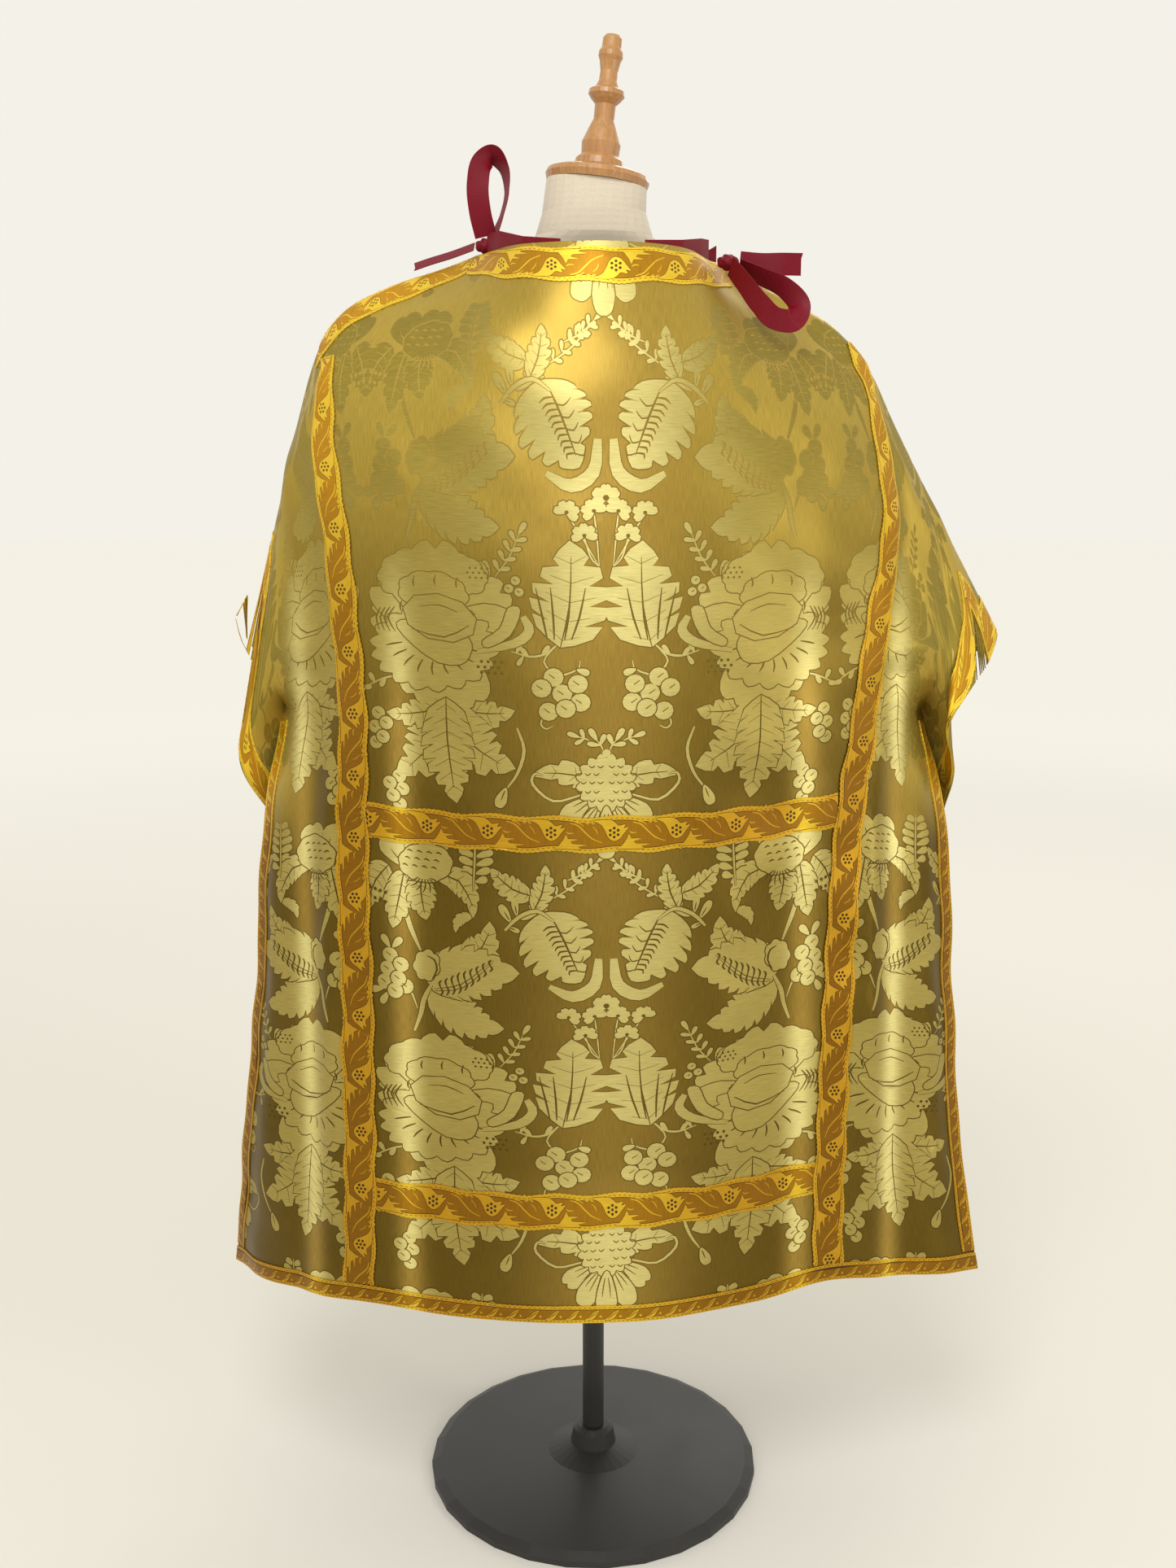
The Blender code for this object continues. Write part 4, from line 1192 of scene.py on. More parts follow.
class Damask:
    """The large floral figure: one half repeat, mirrored about the loom's middle.

    Pen positions are given out from the mirror line and down from the chart's top line, in units
    a little smaller than a millimetre, so that 580 of them make the repeat of 55 cm each way.
    """

    REPEAT = 580.0
    SCALE = 0.000945
    # Height of the chart's top line above the middle of the upper bar, in metres.
    TOP = 0.452
    # The hung cloth gives lengthwise over the shoulder blades, so the figure stands taller there.
    EASE_FROM = TOP - 232 * SCALE
    EASE = 0.15
    # Lines of the draft, and where they lie once the loom has beaten its rows together.
    DRAFTED, BEATEN = (-600, -222, 300), (-583.4, -233.3, 187.1)

    def __init__(self) -> None:
        """Chart the half repeat."""
        self.chart = Chart()
        self.crest()
        self.acanthus()
        self.palmette()
        self.peony()
        self.serrated_leaf()
        self.ferns()
        self.settle()
        self.curled_leaf()
        self.hanging_leaf()
        self.poppy()

    def crest(self) -> None:
        """Small flower at the top of the middle line and the sprays beside it."""
        c = self.chart
        for turn in (90, 35, -25, 150):
            c.petal((0, -66), turn, 17, 13, 2, 0.1)
        c.dot((0, -66), 4.0, 3)
        for x, y, turn in ((14, -82, 60), (45, -84, 115), (25, -112, 85)):
            for side in (-100, -50, 0, 50, 100):
                c.petal((x, y), turn + side, 15, 10, 2)
            c.dot((x, y), 2.6, 3)
            c.stem([(x, y - 2), (x * 0.6 + 3, y - 26), (8, -150)], 2.0, 1)
        c.sprig((40, -18), 70, 26, 1, 15, 2)
        c.sprig((4, -378), 60, 14, 1, 15, 2)
        c.sprig((128, -164), 118, 60, 4, 14, 2)
        c.petal((136, -170), 80, 26, 10, 2, 0.0, 1)
        c.berries([(104, -168), (112, -178), (100, -182)], 5.5, 2)
        c.sprig((20, -366), 20, 12, 1, 13, 2)

    def acanthus(self) -> None:
        """The tall lobed leaf with its slit veins, twig, tendril and seven berries."""
        c = self.chart
        c.leaf((53, -250), (42, -118), 0.05, 96, 5, 0.52, 4, True)
        for x, lean in ((38, -14), (46, -5), (58, 6), (66, 15)):
            c.stroke([(x + 2, -240), (x + lean * 0.5, -212), (x + lean, -176)], 2.6, 4)
        c.stem([(56, -246), (70, -258), (88, -262), (110, -256)], 3.0, 2)
        c.petals(((74, -258, 130), (90, -262, 50), (104, -258, 115), (96, -262, -60)), 13, 6, 2)
        c.stem([(60, -250), (72, -268), (56, -284), (34, -277), (30, -266)], 2.4, 1)
        c.petal((34, -277), 200, 15, 9, 2, 0.0)
        c.berries(
            [(61, -287), (33, -295), (51, -307), (75, -301), (30, -318), (47, -326), (67, -330)], 11.5, 3,
        )
        c.stem([(72, -334), (76, -346), (70, -352), (62, -348)], 2.2, 2)

    def palmette(self) -> None:
        """The fruit on the middle line with its ticked dome, side lobes and long tip."""
        c = self.chart
        c.leaf((8, -430), (86, -412), 0.16, 34, 3, 0.4, 2)
        c.stem([(30, -436), (62, -444), (86, -424), (84, -410), (74, -412)], 3.4, 3)
        c.petal((14, -440), -40, 48, 30, 3, 0.08, 3)
        c.petal((6, -446), -66, 60, 28, 4, 0.0, 3)
        c.scalloped((0, -420), (36, 38), 0, 16, 0.16, 5)
        for row, (y, count) in enumerate(((-398, 2), (-408, 3), (-419, 3), (-431, 3), (-442, 2))):
            for k in range(count):
                x = 3 + k * 10 + (row % 2) * 5
                c.stroke([(x, y), (x + 4, y - 3), (x + 7, y)], 1.7, 5, count=2)
        c.petal((0, -452), -90, 66, 26, 6, 0.0, 2)
        c.dot((0, -382), 5.0, 6, Thread.FIGURE, 8)

    def peony(self) -> None:
        """The great open flower: back petals, cupped front petal, scalloped skirt and curled edge."""
        c = self.chart
        x, y = 199, -222
        for turn, length, width in (
            (118, 98, 66), (62, 96, 64), (150, 98, 60), (32, 92, 58), (90, 106, 70), (176, 92, 52),
            (6, 82, 50),
        ):
            c.petal((x, y - 6), turn, length, width, 3 + (turn // 31) % 3, 0.10, 3)
        c.scalloped((x + 4, y - 34), (80, 56), -6, 18, 0.13, 6)
        for k in range(9):
            turn = 200 + k * 17.5
            inner, outer = np.array((x + 4, y - 20)), polar(turn, 1.0) * np.array((66, 52))
            start = inner + outer * 0.60
            c.stroke([start, inner + outer * 0.78 + (1.5, 0), inner + outer * 0.93], 2.4, 6, count=2)
        c.scalloped((x + 34, y + 58), (42, 30), -24, 9, 0.10, 5)
        c.scalloped((x - 30, y + 60), (34, 25), 24, 8, 0.10, 5)
        c.scalloped((x + 4, y + 34), (44, 28), 6, 9, 0.08, 6)
        for k in range(7):
            spot = np.array((x - 34 + k * 13, y + 10 + 5 * math.sin(k * 0.55)))
            c.stroke([spot, spot + (1, 7), spot + (-1.5, 13)], 2.4, 7)
            if k % 2:
                c.stroke([spot + (-4, 30), spot + (-3, 36), spot + (-5, 43)], 2.2, 7)
        c.petal((x + 46, y - 8), 200, 92, 50, 7, 0.0)
        c.stem([(96, -212), (89, -230), (106, -246), (150, -258)], 12.0, 7)
        for turn, length in ((-58, 74), (-92, 66), (-122, 78)):
            c.petal((x - 8, y - 36), turn, length, 58, 3, 0.08, 3)
        c.scalloped((x - 4, y + 4), (46, 29), 12, 3, 0.0, 8)
        c.stroke([(x - 40, y - 4), (x - 10, y - 20), (x + 30, y - 12)], 2.0, 8)
        c.stroke([(x - 26, y + 12), (x - 4, y + 20), (x + 20, y + 17)], 1.6, 8)
        curl = [
            (x - 100, y + 18), (x - 88, y - 14), (x - 62, y - 30), (x - 56, y - 22), (x - 76, y - 6),
            (x - 86, y + 20),
        ]
        c.fill(smooth(curl, True, 3), 8)
        for k in range(4):
            rib = [(x + 52 + k * 6, y + 14 - k), (x + 60 + k * 5, y - 2), (x + 50 + k * 7, y - 18)]
            c.stroke(rib, 2.4, 7)
        for i in range(4):
            for j in range(3):
                c.dot((x - 78 + i * 8 + (j % 2) * 4, y - 48 - j * 7), 2.2, 6)
                c.dot((x - 62 + i * 7 + (j % 2) * 3, y + 56 + j * 6), 1.7, 5)

    def serrated_leaf(self) -> None:
        """The toothed leaf below the great flower, its curled neighbour and the small fruits."""
        c = self.chart
        c.leaf((187, -322), (250, -420), -0.14, 74, 6, 0.5, 2, True)
        c.leaf((187, -322), (106, -404), 0.16, 74, 6, 0.48, 3, True)
        c.leaf((187, -320), (106, -330), 0.14, 46, 5, 0.45, 2, True)
        c.leaf((187, -320), (262, -344), -0.12, 40, 5, 0.45, 3, True)
        c.leaf((188, -318), (176, -452), 0.03, 66, 7, 0.5, 4, True)
        c.stem([(187, -326), (196, -304), (194, -284)], 5.0, 2)
        c.stem([(104, -352), (96, -380), (104, -410), (118, -432)], 4.0, 1)
        c.petal((118, -430), -70, 26, 14, 2, 0.0, 1)
        c.berries([(272, -346), (262, -358), (276, -364), (266, -376), (275, -384)], 8.5, 2)
        c.berries([(246, -424), (258, -434), (242, -440), (254, -450), (246, -460)], 8.5, 2)
        c.stem([(284, -312), (262, -300), (238, -294)], 2.6, 2)
        c.petals(((276, -308, 60), (262, -300, -60), (250, -296, 70), (286, -316, 10)), 14, 7, 2)

    def ferns(self) -> None:
        """Stacked fern leaflets and the rose twigs that fill the ground beside the middle."""
        c = self.chart
        for k in range(6):
            size = 24 - abs(k - 2.5) * 4
            for side in (1, -1):
                c.petal((154, -498 - k * 11), 90 + side * 68, size, 10, 2 + k % 2, 0.0)
        c.stem([(154, -490), (156, -532), (158, -566)], 2.4, 4)

    def curled_leaf(self) -> None:
        """The great toothed leaf over the flower: body, horn, lower lobe, hood and comb ribs."""
        c = self.chart
        c.stem([(242, 0), (236, -22), (224, -50)], 6.0, 1)
        c.stem([(212, -92), (222, -112), (226, -130), (234, -152)], 6.0, 4)
        c.leaf((220, -84), (103, -68), -0.04, 72, 7, 0.24, 3, True, False)
        c.leaf((188, -58), (138, -6), 0.25, 46, 6, 0.26, 2, True)
        c.leaf((212, -98), (122, -138), 0.12, 54, 7, 0.30, 2, True, False)
        c.scalloped((217, -68), (17, 21), 20, 7, 0.14, 4)
        c.stroke([(210, -84), (204, -72), (207, -60), (216, -56)], 2.6, 4)
        c.stem([(208, -98), (172, -88), (134, -54)], 3.2, 5)
        for k in range(9):
            spot = np.array((200, -94)) + np.array((-62, 34)) * k / 8 + (0, -4 * math.sin(k * 0.39))
            size = 13 - abs(k - 3) * 1.2
            c.stroke([spot, spot + (1.5, size * 0.6), spot + (-1.5, size)], 2.8, 5, count=2)
            c.stroke([spot, spot + (-2.5, -size * 0.6), spot + (1.0, -size * 1.1)], 2.8, 5, count=2)
        c.berries(
            [(262, -60), (249, -71), (266, -78), (253, -89), (270, -95), (257, -105), (244, -98)], 9.5, 2,
        )
        c.stem([(248, -94), (238, -104), (230, -124)], 2.6, 1)
        c.petals(((262, -50, 60), (258, -50, 130), (266, -108, -60), (272, -104, -10)), 17, 9, 2)

    def hanging_leaf(self) -> None:
        """The lobed leaf that hangs on its twig beside the middle line, and the twig's own leaves."""
        c = self.chart
        c.stem([(120, -16), (104, 0), (82, 8), (62, -4)], 4.5, 4)
        c.leaf((76, 6), (30, -78), 0.04, 92, 6, 0.40, 3, False, False)
        c.stroke([(62, -4), (50, -28), (34, -66)], 2.6, 3)
        for k in range(10):
            spot = np.array((60, -10)) + np.array((-25, -54)) * k / 9
            c.stroke([spot, spot + (9, -1), spot + (15 - k * 0.7, -6)], 2.4, 3, count=2)
            if k % 2:
                c.stroke([spot, spot + (-10, -2), spot + (-19 + k * 0.8, 6)], 1.8, 3, count=2)
        c.stem([(9, -50), (14, -82), (40, -96), (68, -84)], 15.0, 5)
        c.leaf((88, 26), (136, 58), -0.12, 31, 5, 0.34, 2)
        c.leaf((86, 8), (72, 64), 0.08, 28, 5, 0.42, 3)
        c.sprig((66, 22), 140, 72, 5, 11, 2)
        c.sprig((46, 46), 152, 30, 3, 10, 2)
        for x, y, turn, size in (
            (113, -6, 57, 24), (106, 2, 80, 20), (116, -12, 200, 14), (80, 8, -20, 24), (70, 10, 12, 22),
        ):
            c.petal((x, y), turn, size, size * 0.42, 2, 0.0, 1)

    def poppy(self) -> None:
        """The nodding flower: a dashed dome over hanging toothed petals."""
        c = self.chart
        c.stem([(246, 30), (246, 10), (240, -6)], 6.0, 1)
        for foot, tip, bend, width, teeth, depth in (
            ((262, 50), (290, -8), 0.10, 44, 6, 2), ((243, 46), (257, -26), 0.0, 38, 5, 3),
            ((208, 48), (158, -4), -0.26, 32, 6, 3), ((222, 44), (216, -12), 0.05, 40, 5, 4),
        ):
            c.leaf(foot, tip, bend, width, teeth, 0.30, depth, True)
        c.leaf((159, -2), (180, -24), 0.25, 15, 4, 0.3, 2, True, False)
        c.petal((240, 52), 64, 44, 44, 4, 0.08, 2)
        c.petal((214, 60), 100, 36, 46, 4, 0.08, 2)
        c.scalloped((216, 58), (34, 24), -8, 9, 0.05, 6)
        for k in range(12):
            spot = np.array((196 + (k % 4) * 12 + (k // 4) * 3, 70 - (k // 4) * 9))
            c.stroke([spot, spot + (4, 2), spot + (7, 1)], 2.2, 6, count=1)
        for k in range(8):
            c.dot((266 + (k % 4) * 6.5, 16 - (k // 4) * 11 + (k % 4) * 1.5), 2.3, 5, Thread.LINE, 7)
        for k in range(7):
            turn = 205 + k * 20
            start = np.array((218, 42)) + polar(turn, 4) * (2.2, 1.0)
            c.stroke([start, start + polar(turn, 9), start + polar(turn + 14, 17)], 2.0, 6, count=2)

    def settle(self) -> None:
        """Draw the rows drafted so far closer together, as the loom beats them."""
        for shape in self.chart.shapes:
            shape.points[:, 1] = np.interp(shape.points[:, 1], self.DRAFTED, self.BEATEN)

    def eased(self, heights: Array) -> Array:
        """Heights on the cloth with the give over the shoulder blades."""
        return heights + np.maximum(heights - self.EASE_FROM, 0) * self.EASE

    def over(self, low: Array, high: Array) -> list[Shape]:
        """The pattern over a stretch of flat cloth.

        Args:
            low, high: corners of the stretch in flat metres.

        Returns:
            Shapes in flat metres.
        """
        found = []
        boxes = [(s.points.min(axis=0), s.points.max(axis=0)) for s in self.chart.shapes]
        top = self.TOP / self.SCALE
        repeats = [
            (column, row, mirror) for column in range(-3, 4) for row in range(-2, 4) for mirror in (1, -1)
        ]
        for column, row, mirror in repeats:
            shift = np.array((column * self.REPEAT, top - row * self.REPEAT))
            turn = np.array((mirror, 1.0))
            for shape, (small, large) in zip(self.chart.shapes, boxes):
                ends = np.sort(np.stack([small * turn, large * turn]), axis=0)
                ends = (ends + shift) * self.SCALE
                ends[:, 1] = self.eased(ends[:, 1])
                if (ends[0] < high).all() and (ends[1] > low).all():
                    points = (shape.points * turn + shift) * self.SCALE
                    points[:, 1] = self.eased(points[:, 1])
                    found.append(Shape(shape.layer, shape.thread, points))
        return found


class Braid(Enum):
    """The two widths of woven braid."""

    WIDE = WIDE_GALLOON
    NARROW = NARROW_GALLOON


class BraidChart:
    """One repeat of the braid in millimetres: x along it, y across it from its own middle."""

    REPEAT = 70.0
    SCALLOPS = 12
    SCALLOP_RISE = 0.9
    SWAY = 1.5
    # How far the scallops' tips lie inside the braid's width, and points along a repeat of an edge.
    ROOM = {Braid.WIDE: 2.1, Braid.NARROW: 0.9}
    EDGE_POINTS = 25

    def __init__(self, braid: Braid) -> None:
        """Chart one repeat.

        Args:
            braid: which width is charted.
        """
        self.braid = braid
        self.half = braid.value * MM_IN_M / 2
        self.chart = Chart()
        if braid is Braid.WIDE:
            self.wide()
        else:
            self.narrow()

    def sway(self, x: Array | float) -> Array | float:
        """The slow wave that both edges of the wide braid share."""
        wave = self.SWAY * np.sin(2 * np.pi * (np.asarray(x) + 12) / self.REPEAT)
        return wave if self.braid is Braid.WIDE else 0 * wave

    def edge(self, x: Array, side: int) -> Array:
        """Distance of one scalloped edge from the middle.

        Args:
            x: places along the braid. side: 1 or -1; the narrow braid is plain at -1.

        Returns:
            The same shape as x.
        """
        bump = np.abs(np.sin(np.pi * x * self.SCALLOPS / self.REPEAT))
        if self.braid is Braid.NARROW and side < 0:
            return np.full(len(x), self.half)
        tips = self.half - self.ROOM[self.braid] + side * self.sway(x)
        return tips + self.SCALLOP_RISE * bump - self.SCALLOP_RISE

    def border(self, level: float, sides: tuple) -> None:
        """Lay a line and small crescents along the edges.

        Args:
            level: the line's distance from the middle. sides: which edges have them.
        """
        pitch = self.REPEAT / self.SCALLOPS
        x = np.linspace(-self.REPEAT / 2, self.REPEAT / 2, self.EDGE_POINTS)
        for side in sides:
            line = np.stack([x, side * level + self.sway(x)], -1)
            line = np.vstack([line, (line + (0, side * 0.8))[::-1]])
            self.chart.shapes.append(Shape(3, Thread.LINE, line))
            for k in range(self.SCALLOPS):
                middle = (k + 0.5) * pitch - self.REPEAT / 2
                y = side * (level + 2.5) + float(self.sway(middle))
                moon = [(-1.9, -0.7), (-1.0, 0.8), (1.0, 0.8), (1.9, -0.7), (0.0, -0.1)]
                crescent = np.array([(middle + a, y + side * b) for a, b in moon])
                self.chart.shapes.append(Shape(5, Thread.FIGURE, crescent))

    def wide(self) -> None:
        """Pods of seven dots between long bent leaves."""
        c = self.chart
        x = np.linspace(-self.REPEAT / 2, self.REPEAT / 2, self.EDGE_POINTS)
        top = np.stack([x, 14.2 + self.sway(x)], -1)
        foot = np.stack([x, -14.2 + self.sway(x)], -1)
        c.shapes.append(Shape(1, Thread.FIGURE, np.vstack([foot, top[::-1]])))
        self.border(14.0, (1, -1))
        pod = [
            (-24, 16), (-15, 11.5), (-10, 4), (-6.5, -3.5), (-0.5, -7.5), (6, -5), (10.5, 0.5), (16, 7.8),
            (10.5, 6.6), (12.5, 11), (5, 9.6), (1, 13.2), (-6, 16.5),
        ]
        c.fill(smooth(pod, True, 3), 2, Thread.GROUND, 0.6)
        for k in range(7):
            spot = (0, 2) if k == 6 else tuple(np.array((0, 2)) + polar(30 + 60 * k, 5.0))
            c.dot(spot, 1.75, 3, Thread.LINE, 8)
        peak = [
            (2, -16.5), (9, -12.5), (13.5, -6), (16.5, 0.5), (19, -5), (31, -5.4), (21.5, -8.2),
            (24, -10.8), (41, -11.6), (30, -14), (34, -17),
        ]
        c.fill(np.array(peak, float), 2, Thread.GROUND, 0.6)
        c.stroke([(17, 3), (20, 1.2), (25, 1.6)], 1.3, 3, Thread.GROUND)
        for table, width in (
            (((21, 13.4), (30, 10.2), (38, 2.4), (46, -4.8), (57, -9.4)), 1.5),
            (((27, 14), (33, 12.5), (36, 9.5)), 1.0),
            (((46, 9), (50, 5), (52, 0)), 0.9),
        ):
            for shift in (0, -self.REPEAT):
                c.stroke([(a + shift, b) for a, b in table], width, 3, Thread.GROUND, 4)
        for a in (38, 44):
            for shift in (0, -self.REPEAT):
                hook = [(a + shift, 14.5), (a + 2.5 + shift, 12.2), (a + 5 + shift, 13.6)]
                c.stroke(hook, 1.2, 3, Thread.GROUND)

    def narrow(self) -> None:
        """Small slanting leaves between a plain and a scalloped edge."""
        c = self.chart
        half = self.REPEAT / 2
        field = np.array([(-half, -7.2), (half, -7.2), (half, 5.2), (-half, 5.2)], float)
        c.shapes.append(Shape(1, Thread.FIGURE, field))
        self.border(5.0, (1,))
        for k in range(3):
            x = (k - 1) * self.REPEAT / 3
            leaf = [
                (x - 9, -7.4), (x - 3, -3), (x + 2, 2.2), (x + 8, 4.6), (x + 5, -0.6), (x + 3, -4.4),
                (x - 2, -7.4),
            ]
            c.fill(smooth(leaf, True, 3), 2, Thread.GROUND, 0.5)
            c.stroke([(x - 5, -5.8), (x + 1, -1.4), (x + 6, 3)], 0.9, 3, Thread.LINE)
            c.dot((x + 9.5, -3.2), 1.5, 3, Thread.GROUND, 8)
        for k in range(14):
            c.dot((-half + (k + 0.5) * self.REPEAT / 14, -9.1), 0.9, 3, Thread.FIGURE)

    def outline(self, length: float) -> Array:
        """Closed outline of a length of braid, in metres.

        Args:
            length: in metres.

        Returns:
            Shape (m, 2), along and across.
        """
        count = max(8, round(length * MM_IN_M / (self.REPEAT / self.SCALLOPS / 4)))
        x = np.linspace(0, length * MM_IN_M, count + 1)
        low = np.stack([x, -self.edge(x, -1)], -1)
        high = np.stack([x, self.edge(x, 1)], -1)
        return np.vstack([low, high[::-1]]) * MM

    def over(self, length: float) -> list[Shape]:
        """The pattern along a length of braid.

        Args:
            length: in metres.

        Returns:
            Shapes in metres.
        """
        found = []
        for k in range(-1, round(length * MM_IN_M / self.REPEAT) + 2):
            shift = np.array((k * self.REPEAT, 0.0))
            for shape in self.chart.shapes:
                found.append(Shape(shape.layer, shape.thread, (shape.points + shift) * MM))
        return found


@dataclass
class Galloon:
    """A length of woven braid sewn on one sheet.

    Fields: name, the surface it lies on, the line it follows in flat coordinates, the flat
    direction in which its width runs, where its middle lies across that line, the charted braid,
    how high it stands over the cloth, and how thick it is.
    """

    STEP = 0.009

    name: str
    surface: Surface
    line: Array
    across: tuple[float, float]
    middle: float
    chart: BraidChart
    low: float = 0.0002
    thick: float = 0.0011

    def __post_init__(self) -> None:
        """Measure the line."""
        steps = np.linalg.norm(np.diff(self.line, axis=0), axis=1)
        self.arc = np.concatenate([[0.0], np.cumsum(steps)])

    @property
    def length(self) -> float:
        """Its length in metres."""
        return float(self.arc[-1])

    def flat(self, spots: Array) -> Array:
        """Flat coordinates on the sheet of places on the braid."""
        base = np.stack([np.interp(spots[:, 0], self.arc, self.line[:, k]) for k in (0, 1)], -1)
        return base + (spots[:, 1:] + self.middle) * np.array(self.across)

    def place(self, spots: Array) -> tuple[Array, Array]:
        """Points and normals of places on the braid."""
        return self.surface.place(self.flat(spots))

    def build(self, materials: list[bpy.types.Material]) -> bpy.types.Object:
        """Make the braid.

        Args:
            materials: reverse, light, leaf and dark threads.

        Returns:
            Its object.
        """
        u, v = self.across
        run = self.line[-1] - self.line[0]
        left_handed = (run[0] * v - run[1] * u) < 0
        return Cloth(
            self.name, self.chart.outline(self.length), self.chart.over(self.length), [], self.place,
            WALL + self.low, WALL + self.low + self.thick, self.STEP, materials,
            self.surface.front != left_handed,
        ).build()


# Each point of a tie's path is x, y, z and the angle of the ribbon's width round it, in degrees.
TIE_PATHS = {
    "tie_loop_left": (
        (-0.1245, -0.008, 1.5636, 0), (-0.131, -0.014, 1.590, 0), (-0.133, -0.014, 1.620, 4),
        (-0.127, -0.010, 1.644, 16), (-0.116, -0.006, 1.652, 40), (-0.104, -0.004, 1.640, 66),
        (-0.100, -0.004, 1.615, 80), (-0.106, -0.003, 1.588, 80), (-0.116, -0.001, 1.5640, 70),
    ),
    "tie_tail_left": (
        (-0.1379, -0.0030, 1.5532, 65), (-0.165, 0.004, 1.5445, 65), (-0.190, 0.005, 1.5370, 65),
        (-0.208, 0.006, 1.5310, 65),
    ),
    "tie_tail_right": (
        (0.1644, -0.0350, 1.5342, 0), (0.190, -0.038, 1.5320, 0), (0.212, -0.042, 1.5320, 0),
        (0.236, -0.041, 1.5320, 0),
    ),
    "tie_loop_right": (
        (0.1526, -0.0447, 1.5288, 60), (0.166, -0.066, 1.506, 50), (0.180, -0.082, 1.484, 36),
        (0.196, -0.098, 1.466, 20), (0.214, -0.100, 1.464, 4), (0.224, -0.088, 1.480, -20),
        (0.210, -0.072, 1.502, -40), (0.188, -0.058, 1.515, -50), (0.1634, -0.0440, 1.5275, -56),
    ),
}
TIE_KNOTS = {
    "tie_knot_left": (-0.1245, -0.0035, 1.5535),
    "tie_knot_right": (0.1505, -0.0350, 1.5342),
}
KNOT_HALF_SIZES = (0.0130, 0.0110, 0.0095)
# A strand starts part of the way along its first span, and rises over the neck edge at each column.
STRAND_START = {("back", -1): 0.36, ("back", 1): 0.60, ("front", -1): 0.20, ("front", 1): 0.10}
STRAND_COLUMNS = (2.0, 1.55, 1.10, 0.55)
STRAND_RISE = (0.0105, 0.0085, -0.0030, -0.0085)


@dataclass
class Ribbon:
    """The crimson ties: knots, loops, tails, and the strands inside the neck edge.

    Fields: the ribbon's finish, and points to each span of a path.
    """

    # The ribbon's section with rounded edges, as shares of half the width and half the thickness.
    SECTION = (
        (1, 0), (0.985, 1), (0.4, 1), (-0.4, 1), (-0.985, 1), (-1, 0), (-0.985, -1), (-0.4, -1), (0.4, -1),
        (0.985, -1),
    )
    TAIL_SLANT = 0.3
    KNOT_RINGS, KNOT_SIDES = 40, 56

    material: bpy.types.Material
    per_span: int = 12

    def sweep(self, name: str, centres: Array, sides: Array, faces: Array, cut: float) -> bpy.types.Object:
        """A flat ribbon from its middle line.

        Args:
            name: its name. centres, sides, faces: middle points, unit directions of its width and
            of its thickness, each (m, 3). cut: slant of the far end, as a share of the width.

        Returns:
            The object.
        """
        half_w, half_t = RIBBON_WIDTH / 2, RIBBON_THICK / 2
        run = np.concatenate([[0.0], np.cumsum(np.linalg.norm(np.diff(centres, axis=0), axis=1))])
        points, flat = [], []
        along = unit(np.gradient(centres, axis=0))
        count = len(self.SECTION)
        for i, (centre, side, face) in enumerate(zip(centres, sides, faces)):
            slant = cut * half_w if i == len(centres) - 1 else 0.0
            for a, b in self.SECTION:
                points.append(centre + side * half_w * a + face * half_t * b - along[i] * slant * (1 - a))
                flat.append((a * half_w, run[i]))
        quads = []
        for i in range(len(centres) - 1):
            for k in range(count):
                a, b = i * count + k, i * count + (k + 1) % count
                quads += [(a, b, b + count), (a, b + count, a + count)]
        last = (len(centres) - 1) * count
        for k in range(1, count - 1):
            quads += [(0, k + 1, k), (last, last + k, last + k + 1)]
        thing = self.dyed(name, points, quads, flat)
        outward(thing)
        return thing

    def dyed(self, name: str, points: list, faces: list, flat: list) -> bpy.types.Object:
        """A mesh object of ribbon."""
        slots = np.zeros(len(faces))
        return mesh_object(name, np.array(points), np.array(faces), slots, [self.material], np.array(flat))

    def path(self, name: str) -> bpy.types.Object:
        """A loop or a tail.

        Args:
            name: one of TIE_PATHS.

        Returns:
            The object.
        """
        table = np.array(TIE_PATHS[name])
        line, last = table[:, :3], len(table) - 1
        t = np.linspace(0, last, last * self.per_span + 1)
        centres = on_curve(line, t)
        before, after = np.maximum(t - 0.01, 0), np.minimum(t + 0.01, last)
        along = unit(on_curve(line, after) - on_curve(line, before))
        angles = np.interp(t, np.arange(len(table)), table[:, 3])
        sides, faces = [], []
        for tangent, angle in zip(along, angles):
            across = Vector(tangent).cross(Vector((0, 1, 0))).normalized()
            across = Matrix.Rotation(math.radians(angle), 3, Vector(tangent)) @ across
            sides.append(np.array(across))
            faces.append(np.cross(tangent, across))
        cut = self.TAIL_SLANT if "tail" in name else 0.0
        return self.sweep(name, centres, np.array(sides), np.array(faces), cut)

    def strand(self, name: str, surface: Surface, side: int) -> bpy.types.Object:
        """The stretch of tie inside the neck edge, from its seam up to the knot.

        Args:
            name: its name. surface: of its sheet. side: -1 for left, 1 for right.

        Returns:
            The object.
        """
        face = surface.face
        corners = np.array([(side * c, 0.0) for c in STRAND_COLUMNS])
        flat = surface.flat(corners[:, 0], corners[:, 1])
        edge, _ = surface.place(flat)
        edge[0] = edge[0] + (edge[1] - edge[0]) * STRAND_START[(face, side)]
        t = np.linspace(0, 3, 25)
        centres = np.stack([np.interp(t, range(4), edge[:, k]) for k in range(3)], -1)
        rise = np.interp(t, range(4), STRAND_RISE)
        turns = unit(np.cross(np.diff(edge, axis=0), (0, 0, 1)))
        at = np.vstack([turns[0], (turns[0] + turns[1]) / 2, (turns[1] + turns[2]) / 2, turns[2]])
        inward = unit(np.stack([np.interp(t, range(4), at[:, k]) for k in range(3)], -1))
        inward *= -np.sign(np.sum(inward * centres, axis=1, keepdims=True))
        centres = centres + inward * (SEAM_GAP + RIBBON_THICK / 2)
        centres[:, 2] += rise
        up = np.tile((0.0, 0.0, 1.0), (len(t), 1))
        return self.sweep(name, centres, up, inward, 0.0)

